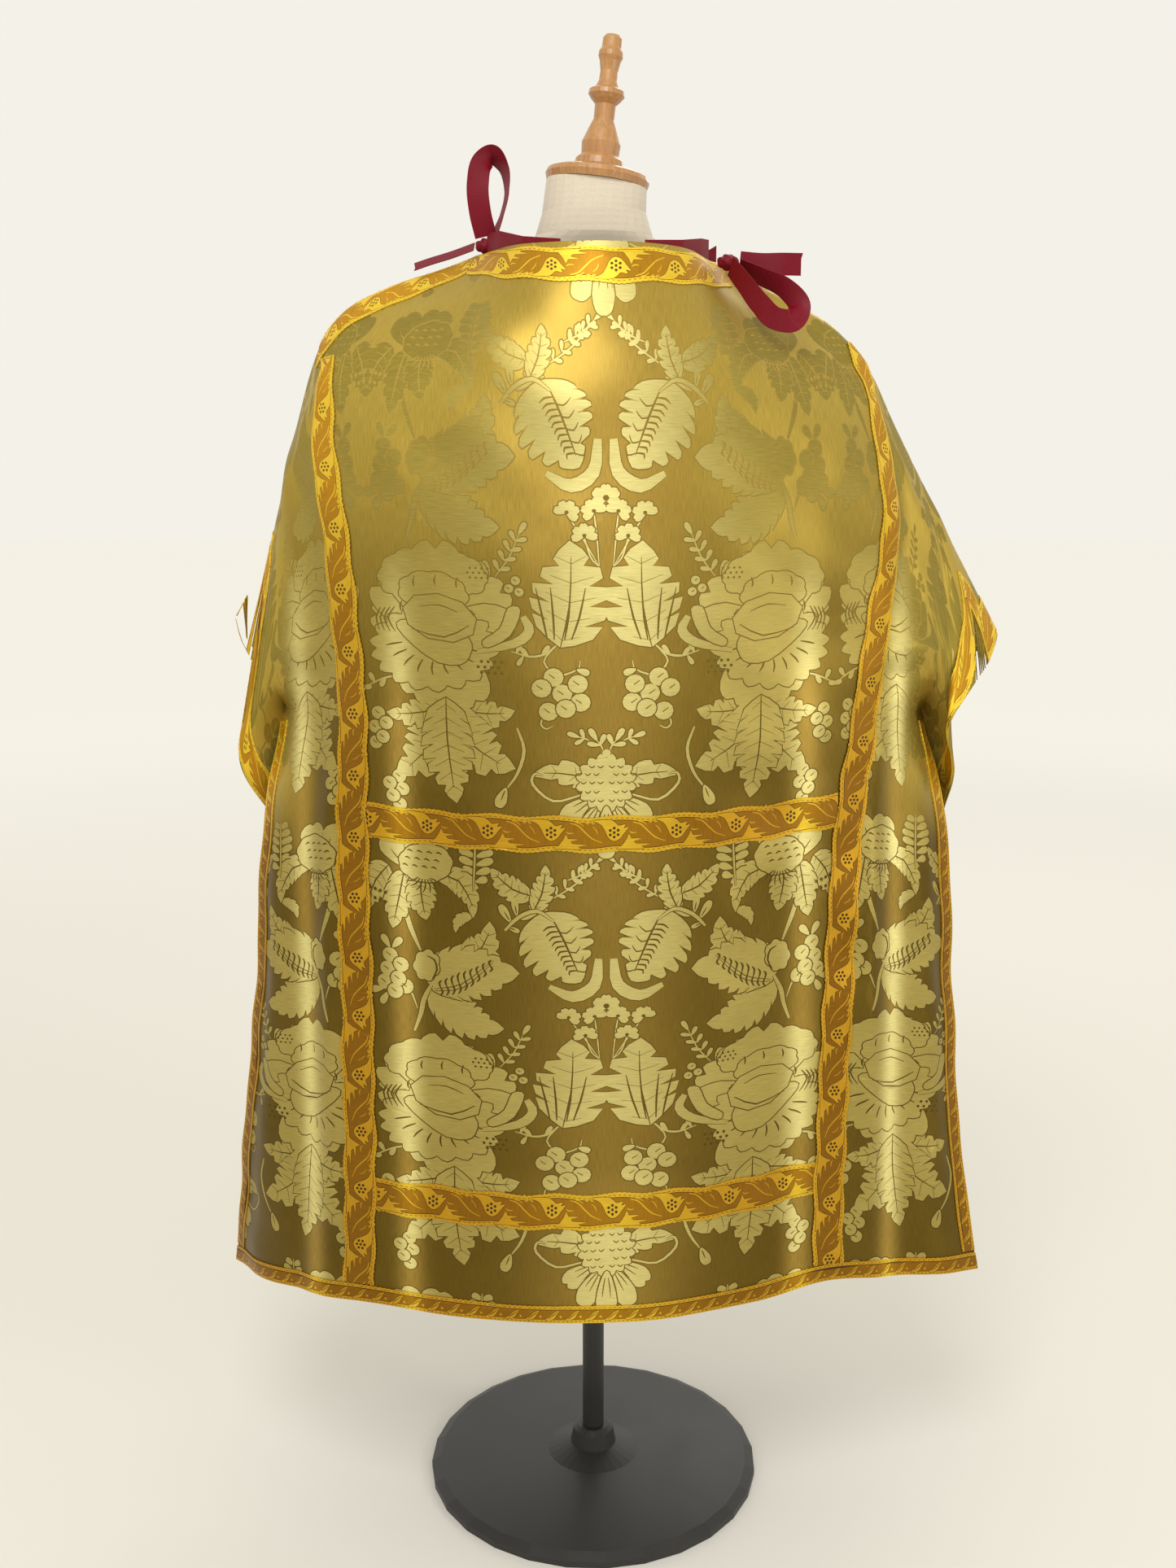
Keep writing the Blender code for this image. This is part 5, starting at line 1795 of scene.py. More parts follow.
    def knot(self, name: str) -> bpy.types.Object:
        """A tight knot: a rounded body with the ribbon's pleats wrapped over it.

        Args:
            name: one of TIE_KNOTS.

        Returns:
            The object.
        """
        rings, sides = self.KNOT_RINGS, self.KNOT_SIDES
        points, flat = [], []
        for i in range(rings + 1):
            polar_angle = math.pi * i / rings
            for k in range(sides):
                turn = 2 * math.pi * k / sides
                x = math.sin(polar_angle) * math.cos(turn)
                y = math.sin(polar_angle) * math.sin(turn)
                z = math.cos(polar_angle)
                # Nine pleats run slantwise over the knot, and a tuck closes each end.
                wrap = math.sin(9 * (x * 0.9 + z * 0.55) + 2.0 * y)
                tuck = math.exp(-((abs(x) - 0.55) / 0.16) ** 2)
                size = 0.955 + 0.045 * wrap - 0.10 * tuck
                points.append(np.array(TIE_KNOTS[name]) + np.array(KNOT_HALF_SIZES) * (x, y, z) * size)
                flat.append((turn * 0.012, polar_angle * 0.012))
        faces = []
        for i in range(rings):
            for k in range(sides):
                a, b = i * sides + k, i * sides + (k + 1) % sides
                faces += [(a, b, b + sides), (a, b + sides, a + sides)]
        thing = self.dyed(name, points, faces, flat)
        outward(thing, join=True)
        return thing


def outward(thing: bpy.types.Object, join: bool = False) -> None:
    """Turn every face of a closed mesh outwards.

    Args:
        thing: its object, changed in place. join: join doubled points and drop empty faces first.
    """
    mesh = bmesh.new()
    mesh.from_mesh(thing.data)
    if join:
        bmesh.ops.remove_doubles(mesh, verts=mesh.verts, dist=1e-6)
        bmesh.ops.dissolve_degenerate(mesh, edges=mesh.edges, dist=1e-7)
    bmesh.ops.recalc_face_normals(mesh, faces=mesh.faces)
    mesh.to_mesh(thing.data)
    mesh.free()


def linear(code: str) -> tuple[float, float, float, float]:
    """An sRGB hex colour as linear values with full alpha."""
    parts = [int(code[i:i + 2], 16) / 255 for i in (1, 3, 5)]
    return (*(p / 12.92 if p <= 0.04045 else ((p + 0.055) / 1.055) ** 2.4 for p in parts), 1.0)


class Nodes:
    """A node tree under construction."""

    def __init__(self, tree: bpy.types.NodeTree) -> None:
        """Start on a tree."""
        self.tree = tree

    def node(self, kind: str, inputs: dict | None = None, **settings: object) -> bpy.types.Node:
        """Add a node.

        Args:
            kind: its type. inputs: socket name or number to a value or to an output to link.
            settings: the node's own properties.

        Returns:
            The node.
        """
        made = self.tree.nodes.new(kind)
        for key, value in settings.items():
            setattr(made, key, value)
        for key, value in (inputs or {}).items():
            self.feed(made, key, value)
        return made

    def feed(self, node: bpy.types.Node, key: str | int, value: object) -> None:
        """Set or link one input of a node.

        Args:
            node: whose input it is. key: the input's name or number. value: a value, or the output
            to link.
        """
        if isinstance(value, bpy.types.NodeSocket):
            self.tree.links.new(value, node.inputs[key])
        else:
            node.inputs[key].default_value = value


class Recipe(Nodes):
    """A material under construction."""

    def __init__(self, name: str) -> None:
        """Start a material.

        Args:
            name: of the real material.
        """
        self.material = bpy.data.materials.new(name)
        self.material.use_nodes = True
        super().__init__(self.material.node_tree)
        self.shader = self.tree.nodes["Principled BSDF"]

    def shade(self, **values: object) -> None:
        """Set or link the shader's sockets, with underscores for the spaces in their names."""
        for key, value in values.items():
            self.feed(self.shader, key.replace("_", " "), value)


def per_band(spacing: float) -> float:
    """Scale of a wave texture whose bands lie this many millimetres apart."""
    return math.pi / 10 / (spacing * MM)


@dataclass(frozen=True)
class Weave:
    """Woven silk: two colours of one yarn, its threads and its gloss.

    Fields: name, two sRGB colours that the dye drifts between, the brighter colour that the painted highlight
    mixes in, the colour of painted light and shade that shows where ground and figure trade places, direction
    of the floats that catch the light (0 along the cloth's width, 0.25 along its length), roughness, metallic
    value, relief of the threads in mm, their spacing in mm, and sheen.
    """

    # Real silk lies 0.2 to 0.3 mm apart. It is drawn at 0.9 mm, so that the threads show.
    SPACING = 0.9
    # A slub is some 15 mm long and 1 mm thick, and lies with the floats. Repeats in a metre.
    SLUB = (60.0, 900.0)

    name: str
    colour: str
    deep: str
    bright: str
    turned: str
    floats: float
    roughness: float
    metallic: float
    relief: float
    spacing: float = SPACING
    sheen: float = 0.0

    def make(self) -> bpy.types.Material:
        """Build the material.

        Returns:
            The material, which reads the piece's own map "cloth" and its attributes of painted light.
        """
        r = Recipe(self.name)
        cloth = r.node("ShaderNodeUVMap", uv_map="cloth").outputs["UV"]
        drift = r.node("ShaderNodeTexNoise", {
            "Vector": cloth, "Scale": 9.0, "Detail": 3.0, "Roughness": 0.55,
        })
        lie = (*self.SLUB, 1.0) if self.floats == 0 else (*self.SLUB[::-1], 1.0)
        drawn = r.node("ShaderNodeMapping", {"Vector": cloth, "Scale": lie}).outputs["Vector"]
        slub = r.node("ShaderNodeTexNoise", {"Vector": drawn, "Scale": 1.0, "Detail": 2.0}).outputs["Fac"]
        # A Mix node has sockets for each type of value, so colours are fed by number.
        own = r.node("ShaderNodeMix", {
            0: drift.outputs["Fac"], 6: linear(self.deep), 7: linear(self.colour),
        }, data_type="RGBA")
        # Painted light and shade: where the "turn" attribute is high, ground and figure show the colours that
        # light falling from another side gives them.
        turn = r.node("ShaderNodeAttribute", attribute_name="turn").outputs["Fac"]
        base = r.node("ShaderNodeMix", {0: turn, 6: own.outputs[2], 7: linear(self.turned)}, data_type="RGBA")
        # Painted highlight, mixed in down the middle and in upright streaks.
        tone = r.node("ShaderNodeAttribute", attribute_name="tone").outputs["Fac"]
        lit = r.node("ShaderNodeMix", {0: tone, 6: base.outputs[2], 7: linear(self.bright)}, data_type="RGBA")
        fleck = r.node("ShaderNodeMapRange", {
            "Value": slub, "From Min": 0.3, "From Max": 0.7, "To Min": 0.86, "To Max": 1.10,
        })
        shade = r.node("ShaderNodeVectorMath", {
            0: lit.outputs[2], 1: fleck.outputs["Result"],
        }, operation="MULTIPLY")
        weft, warp = (
            r.node("ShaderNodeTexWave", {
                "Vector": cloth, "Scale": per_band(self.spacing), "Distortion": 0.6, "Detail": 1.0,
            }, bands_direction=axis).outputs["Fac"] for axis in ("Y", "X")
        )
        threads = r.node("ShaderNodeMath", {0: weft, 1: warp}, operation="MAXIMUM")
        both = r.node("ShaderNodeMath", {0: threads.outputs[0], 1: slub}, operation="ADD")
        bump = r.node("ShaderNodeBump", {
            "Height": both.outputs[0], "Strength": 0.35, "Distance": self.relief * MM,
        })
        rough = r.node("ShaderNodeMapRange", {
            "Value": slub, "To Min": self.roughness - 0.06, "To Max": self.roughness + 0.08,
        })
        tangent = r.node("ShaderNodeTangent", direction_type="UV_MAP", uv_map="cloth")
        r.shade(
            Base_Color=shade.outputs[0], Roughness=rough.outputs["Result"], Metallic=self.metallic,
            Normal=bump.outputs["Normal"], Anisotropic=0.55, Anisotropic_Rotation=self.floats,
            Tangent=tangent.outputs["Tangent"], Sheen_Weight=self.sheen, Sheen_Roughness=0.4,
            Sheen_Tint=linear(self.bright), Specular_IOR_Level=0.2,
        )
        return r.material


@dataclass(frozen=True)
class SewingThread:
    """Waxed silk sewing thread: two plies whose twist catches the light, shown as painted highlight and shade
    in bands along the twist over its real relief.

    Fields: name, its lighter colour with painted highlight and its darker colour with painted shade, in sRGB,
    and the spacing of its twist in mm.
    """

    name: str = "gold sewing thread"
    light: str = "#d9b548"
    dark: str = "#a57c1c"
    # The real twist repeats every 0.4 mm; it is drawn at 1.2 mm so that it shows.
    twist: float = 1.2

    def make(self) -> bpy.types.Material:
        """Build the material.

        Returns:
            The material.
        """
        r = Recipe(self.name)
        spot = r.node("ShaderNodeTexCoord").outputs["Object"]
        twist = r.node("ShaderNodeTexWave", {
            "Vector": spot, "Scale": per_band(self.twist), "Distortion": 0.4,
        }, bands_direction="DIAGONAL").outputs["Fac"]
        # Painted highlight and shade in bands along the twist of the plies.
        colour = r.node("ShaderNodeMix", {
            0: twist, 6: linear(self.dark), 7: linear(self.light),
        }, data_type="RGBA")
        bump = r.node("ShaderNodeBump", {"Height": twist, "Strength": 0.4, "Distance": 0.0001})
        rough = r.node("ShaderNodeMapRange", {"Value": twist, "To Min": 0.36, "To Max": 0.52})
        r.shade(
            Base_Color=colour.outputs[2], Roughness=rough.outputs["Result"],
            Normal=bump.outputs["Normal"], Sheen_Weight=0.1,
        )
        return r.material


@dataclass(frozen=True)
class Turned:
    """Oak turned on a lathe and waxed: streaks along the axis, fine rings across it, a soft shine.

    Fields: name, its lighter and darker sRGB colour, and repeats of its grain in a metre.
    """

    name: str = "waxed turned oak"
    light: str = "#c9975a"
    dark: str = "#7d4c22"
    # A streak of grain is 4 mm across and 70 mm long.
    grain: tuple[float, float, float] = (260.0, 260.0, 14.0)

    def make(self) -> bpy.types.Material:
        """Build the material.

        Returns:
            The material.
        """
        r = Recipe(self.name)
        spot = r.node("ShaderNodeTexCoord").outputs["Object"]
        drawn = r.node("ShaderNodeMapping", {"Vector": spot, "Scale": self.grain}).outputs["Vector"]
        grain = r.node("ShaderNodeTexNoise", {
            "Vector": drawn, "Scale": 1.0, "Detail": 6.0, "Roughness": 0.6, "Distortion": 0.6,
        }).outputs["Fac"]
        colour = r.node("ShaderNodeMix", {
            0: grain, 6: linear(self.dark), 7: linear(self.light),
        }, data_type="RGBA")
        # A cutter leaves a ring each 0.5 mm or so; they are drawn 5 mm apart so that they show.
        rings = r.node("ShaderNodeTexWave", {
            "Vector": spot, "Scale": 60.0, "Distortion": 0.3,
        }, bands_direction="Z").outputs["Fac"]
        bump = r.node("ShaderNodeBump", {"Height": rings, "Strength": 0.15, "Distance": 0.0002})
        rough = r.node("ShaderNodeMapRange", {"Value": grain, "To Min": 0.30, "To Max": 0.46})
        r.shade(
            Base_Color=colour.outputs[2], Roughness=rough.outputs["Result"],
            Normal=bump.outputs["Normal"], Coat_Weight=0.25, Coat_Roughness=0.25,
        )
        return r.material


@dataclass(frozen=True)
class Linen:
    """Plain woven linen cover of the form: matt and pale, with thick and thin threads.

    Fields: name, its lighter and darker sRGB colour, and repeats of its slubs in a metre.
    """

    name: str = "natural linen cover"
    colour: str = "#d9cfbd"
    deep: str = "#bfb198"
    # Slubs lie across the form, 3 mm long and 0.7 mm thick.
    slubs: tuple[float, float, float] = (300.0, 300.0, 1400.0)

    def make(self) -> bpy.types.Material:
        """Build the material.

        Returns:
            The material.
        """
        r = Recipe(self.name)
        spot = r.node("ShaderNodeTexCoord").outputs["Object"]
        drawn = r.node("ShaderNodeMapping", {"Vector": spot, "Scale": self.slubs}).outputs["Vector"]
        slub = r.node("ShaderNodeTexNoise", {"Vector": drawn, "Scale": 1.0, "Detail": 3.0}).outputs["Fac"]
        colour = r.node("ShaderNodeMix", {
            0: slub, 6: linear(self.deep), 7: linear(self.colour),
        }, data_type="RGBA")
        # Linen has a thread each 0.6 mm; they are drawn 7 mm apart, as faint bands.
        weave = r.node("ShaderNodeTexWave", {
            "Vector": spot, "Scale": 45.0, "Distortion": 1.0,
        }, bands_direction="Z").outputs["Fac"]
        bump = r.node("ShaderNodeBump", {"Height": weave, "Strength": 0.3, "Distance": 0.0003})
        r.shade(
            Base_Color=colour.outputs[2], Roughness=0.88, Normal=bump.outputs["Normal"], Sheen_Weight=0.2,
        )
        return r.material


@dataclass(frozen=True)
class Enamel:
    """Powder-coated steel of the pole and foot: charcoal, half matt, with a fine orange peel.

    Fields: name, and its sRGB colour where it is clean and where it is rubbed.
    """

    name: str = "powder-coated steel"
    colour: str = "#2d2b29"
    rubbed: str = "#232120"

    def make(self) -> bpy.types.Material:
        """Build the material.

        Returns:
            The material.
        """
        r = Recipe(self.name)
        spot = r.node("ShaderNodeTexCoord").outputs["Object"]
        # Peel of 1 mm, and wear in patches of 70 mm.
        peel = r.node("ShaderNodeTexNoise", {"Vector": spot, "Scale": 900.0, "Detail": 2.0}).outputs["Fac"]
        wear = r.node("ShaderNodeTexNoise", {"Vector": spot, "Scale": 14.0, "Detail": 4.0}).outputs["Fac"]
        rough = r.node("ShaderNodeMapRange", {"Value": wear, "To Min": 0.38, "To Max": 0.55})
        colour = r.node("ShaderNodeMix", {
            0: wear, 6: linear(self.rubbed), 7: linear(self.colour),
        }, data_type="RGBA")
        bump = r.node("ShaderNodeBump", {"Height": peel, "Strength": 0.2, "Distance": 0.0002})
        r.shade(
            Base_Color=colour.outputs[2], Roughness=rough.outputs["Result"], Normal=bump.outputs["Normal"],
        )
        return r.material


class Finishes:
    """Every material of the part, made once. The woven ones are in the order of Thread."""

    # The fields of each Weave in turn. In every row the third colour is a painted highlight, and the fourth
    # is painted light and shade where ground and figure trade places.
    DAMASK = (
        # The back of the cloth: dull, since its floats are short.
        ("plain silk reverse", "#86702f", "#725c22", "#97803a", "#8a7434", 0.25, 0.60, 0.3, 0.05),
        # Floats down the cloth, which look deep bronze and flash gold on a fold: the flash is partly the
        # shader's gloss and partly a painted highlight.
        ("silk damask ground", "#6a5414", "#55430c", "#b09040", "#b29840", 0.25, 0.40, 0.60, 0.06),
        # Floats across the cloth, which look pale and silky.
        ("silk damask figure", "#ac9a52", "#94823e", "#f2e698", "#8c7a2e", 0.0, 0.42, 0.50, 0.08),
        # Close binding points, which draw the outlines as a soft shade.
        ("silk damask line", "#564410", "#46370a", "#83682a", "#a48a3c", 0.0, 0.5, 0.4, 0.05),
    )
    BRAID = (
        # The back of the braid: dull yellow.
        ("braid reverse", "#96701a", "#80600e", "#ac8424", "#a88220", 0.0, 0.60, 0.3, 0.05),
        # Thick glossy yellow weft that stands in ribs.
        ("braid light silk", "#c0901c", "#a87c14", "#ecc838", "#e6c034", 0.0, 0.38, 0.50, 0.12),
        # Amber leaves of the same silk, a little flatter.
        ("braid leaf silk", "#8a5e0a", "#764e06", "#b07e14", "#b88418", 0.25, 0.42, 0.50, 0.12),
        # Dark brown lines and dots, half matt.
        ("braid dark silk", "#472f05", "#392504", "#5c400a", "#7c5a10", 0.25, 0.5, 0.2, 0.08),
    )
    # Ribbed ribbon with a soft wine-red bloom.
    RIBBON = ("crimson grosgrain", "#6a0014", "#4a000a", "#840822", "#70041a", 0.0, 0.48, 0.0, 0.16)
    # Its ribs lie 0.8 mm apart, and are drawn at 1.6 mm so that they show.
    RIBS, BLOOM = 1.6, 0.15

    def __init__(self) -> None:
        """Make them."""
        self.damask = [Weave(*fields).make() for fields in self.DAMASK]
        self.braid = [Weave(*fields).make() for fields in self.BRAID]
        self.ribbon = Weave(*self.RIBBON, spacing=self.RIBS, sheen=self.BLOOM).make()
        self.thread = SewingThread().make()
        self.oak = Turned().make()
        self.linen = Linen().make()
        self.enamel = Enamel().make()


class Studio:
    """Pale floor, soft lights and the camera at the photograph's angle."""

    CREAM = "#f4f1e8"
    # Name, place, size in metres and watts of each soft lamp, and what all of them are aimed at.
    LAMPS = (
        ("key", (-0.5, -2.1, 3.2), 1.2, 44),
        ("streak", (2.0, -1.7, 1.2), 0.5, 10),
        ("rear", (1.0, 2.6, 3.0), 1.8, 22),
    )
    AIM = Vector((0.0, 0.0, 0.95))
    # The camera that sees the garment as the photograph does.
    SPOT = (-0.1374, -1.8655, 1.28)
    PITCH = math.radians(10.8)
    YAW = math.radians(4.0)
    LENS = 35.5
    FLOOR_RADIUS, FLOOR_DROP = 40.0, 0.0005
    # The floor holds painted shade near the form, where the lamps light it most, and pales over these
    # distances from it, so that it looks evenly bright and runs into the backdrop without a line.
    FADE = (0.6, 7.0)

    def camera(self) -> None:
        """Place the camera."""
        data = bpy.data.cameras.new("camera")
        data.lens = self.LENS
        data.sensor_width = 36.0
        thing = linked("camera", data)
        thing.location = self.SPOT
        thing.rotation_euler = (math.pi / 2 - self.PITCH, 0.0, -self.YAW)
        bpy.context.scene.camera = thing

    def floor(self) -> None:
        """Lay a wide round floor."""
        mesh = bmesh.new()
        bmesh.ops.create_circle(mesh, cap_ends=True, segments=64, radius=self.FLOOR_RADIUS)
        data = bpy.data.meshes.new("floor")
        mesh.to_mesh(data)
        mesh.free()
        r = Recipe("matte studio floor")
        spot = r.node("ShaderNodeTexCoord").outputs["Object"]
        away = r.node("ShaderNodeVectorMath", {0: spot}, operation="LENGTH").outputs["Value"]
        fade = r.node("ShaderNodeMapRange", {
            "Value": away, "From Min": self.FADE[0], "From Max": self.FADE[1],
        }, interpolation_type="SMOOTHSTEP").outputs["Result"]
        # Painted shade: darker near the form, where the lamps light the floor most, paler far off.
        colour = r.node("ShaderNodeMix", {
            0: fade, 6: linear("#dddad1"), 7: linear("#fffefb"),
        }, data_type="RGBA")
        r.shade(Base_Color=colour.outputs[2], Roughness=0.95, Specular_IOR_Level=0.0)
        data.materials.append(r.material)
        thing = linked("floor", data)
        thing.location.z = -self.FLOOR_DROP

    def lights(self) -> None:
        """Hang the soft lights and fill the room with pale light."""
        world = bpy.data.worlds.new("room")
        world.use_nodes = True
        bpy.context.scene.world = world
        back = world.node_tree.nodes["Background"]
        back.inputs["Color"].default_value = linear(self.CREAM)
        back.inputs["Strength"].default_value = 1.0
        # The factory's own view washes saturated yellows out.
        bpy.context.scene.view_settings.view_transform = "Standard"
        for name, spot, size, power in self.LAMPS:
            data = bpy.data.lights.new(name, "AREA")
            data.size = size
            data.energy = power
            thing = linked(name, data)
            thing.location = spot
            thing.rotation_euler = (self.AIM - Vector(spot)).to_track_quat("-Z", "Y").to_euler()


@dataclass
class Stitching:
    """The stitches that hold the braids of one sheet, laid by a node tree along their edges.

    Fields: name, the thread's finish, length and width of a stitch that shows, how far it stands
    up, from one stitch to the next, and how far the rows lie inside the braid's edges. All in
    metres. Real stitches are 6 mm apart; here there are fewer, and each is thicker so that it shows.
    """

    # Spacing of the points that a row follows, and how far it stops short of the braid's ends.
    FOLLOW = 0.006
    SHORT = 0.004

    name: str
    material: bpy.types.Material
    length: float = 0.0034
    width: float = 0.0009
    height: float = 0.0005
    pitch: float = 0.0145
    inside: float = 0.0032

    def rows(self, galloons: list[Galloon]) -> bpy.types.Object:
        """The lines that the stitches follow, as loose edges with the cloth's normals.

        Args:
            galloons: the braids of the sheet.

        Returns:
            An object without faces.
        """
        points, normals, edges = [], [], []
        for galloon in galloons:
            count = max(3, round(galloon.length / self.FOLLOW))
            run = np.linspace(self.SHORT, galloon.length - self.SHORT, count)
            reach = galloon.chart.braid.value / 2 - self.inside
            for side in (-1, 1):
                spots, ups = galloon.place(np.stack([run, np.full(count, side * reach)], -1))
                first = sum(len(part) for part in points)
                edges += [(first + k, first + k + 1) for k in range(count - 1)]
                points.append(spots + ups * (WALL + galloon.low + galloon.thick))
                normals.append(ups)
        data = bpy.data.meshes.new(self.name)
        data.from_pydata(np.vstack(points).tolist(), edges, [])
        ups = data.attributes.new("up", "FLOAT_VECTOR", "POINT").data
        ups.foreach_set("vector", np.vstack(normals).astype(np.float32).ravel())
        return linked(self.name, data)

    def tree(self) -> bpy.types.NodeTree:
        """The node tree: one rounded stitch at every pitch, lying along its row.

        Returns:
            The tree. Nothing in it is random, so it needs no seed.
        """
        tree = bpy.data.node_groups.new("running stitches", "GeometryNodeTree")
        face = tree.interface
        face.new_socket("Geometry", in_out="INPUT", socket_type="NodeSocketGeometry")
        for title in ("Pitch", "Length", "Width", "Height"):
            face.new_socket(title, in_out="INPUT", socket_type="NodeSocketFloat")
        face.new_socket("Material", in_out="INPUT", socket_type="NodeSocketMaterial")
        face.new_socket("Geometry", in_out="OUTPUT", socket_type="NodeSocketGeometry")
        n = Nodes(tree)
        given = n.node("NodeGroupInput").outputs
        line = n.node("GeometryNodeMeshToCurve", {"Mesh": given["Geometry"]})
        spaced = n.node("GeometryNodeResampleCurve", {
            "Curve": line.outputs["Curve"], "Length": given["Pitch"],
        }, mode="LENGTH")
        stitch = n.node("GeometryNodeMeshIcoSphere", {"Radius": 0.5, "Subdivisions": 1})
        up = n.node("GeometryNodeInputNamedAttribute", {"Name": "up"}, data_type="FLOAT_VECTOR")
        tangent = n.node("GeometryNodeInputTangent")
        level = n.node("FunctionNodeAlignRotationToVector", {"Vector": up.outputs["Attribute"]}, axis="Z")
        turned = n.node("FunctionNodeAlignRotationToVector", {
            "Rotation": level.outputs["Rotation"], "Vector": tangent.outputs["Tangent"],
        }, axis="X", pivot_axis="Z")
        size = n.node("ShaderNodeCombineXYZ", {
            "X": given["Length"], "Y": given["Width"], "Z": given["Height"],
        })
        laid = n.node("GeometryNodeInstanceOnPoints", {
            "Points": spaced.outputs["Curve"], "Instance": stitch.outputs["Mesh"],
            "Rotation": turned.outputs["Rotation"], "Scale": size.outputs["Vector"],
        })
        real = n.node("GeometryNodeRealizeInstances", {"Geometry": laid.outputs["Instances"]})
        dyed = n.node("GeometryNodeSetMaterial", {
            "Geometry": real.outputs["Geometry"], "Material": given["Material"],
        })
        n.node("NodeGroupOutput", {"Geometry": dyed.outputs["Geometry"]})
        return tree

    def build(self, galloons: list[Galloon]) -> bpy.types.Object:
        """Lay the stitches and keep them as a plain mesh.

        Args:
            galloons: the braids of the sheet.

        Returns:
            Their object, at the origin.
        """
        rows = self.rows(galloons)
        maker = rows.modifiers.new("stitches", "NODES")
        maker.node_group = self.tree()
        given = {
            "Pitch": self.pitch, "Length": self.length, "Width": self.width, "Height": self.height,
            "Material": self.material,
        }
        for item in maker.node_group.interface.items_tree:
            if item.in_out == "INPUT" and item.name in given:
                maker[item.identifier] = given[item.name]
        depsgraph = bpy.context.evaluated_depsgraph_get()
        data = bpy.data.meshes.new_from_object(rows.evaluated_get(depsgraph))
        data.name = SEWN + self.name
        data.shade_smooth()
        rows.modifiers.remove(maker)
        bpy.data.objects.remove(rows)
        return linked(SEWN + self.name, data)


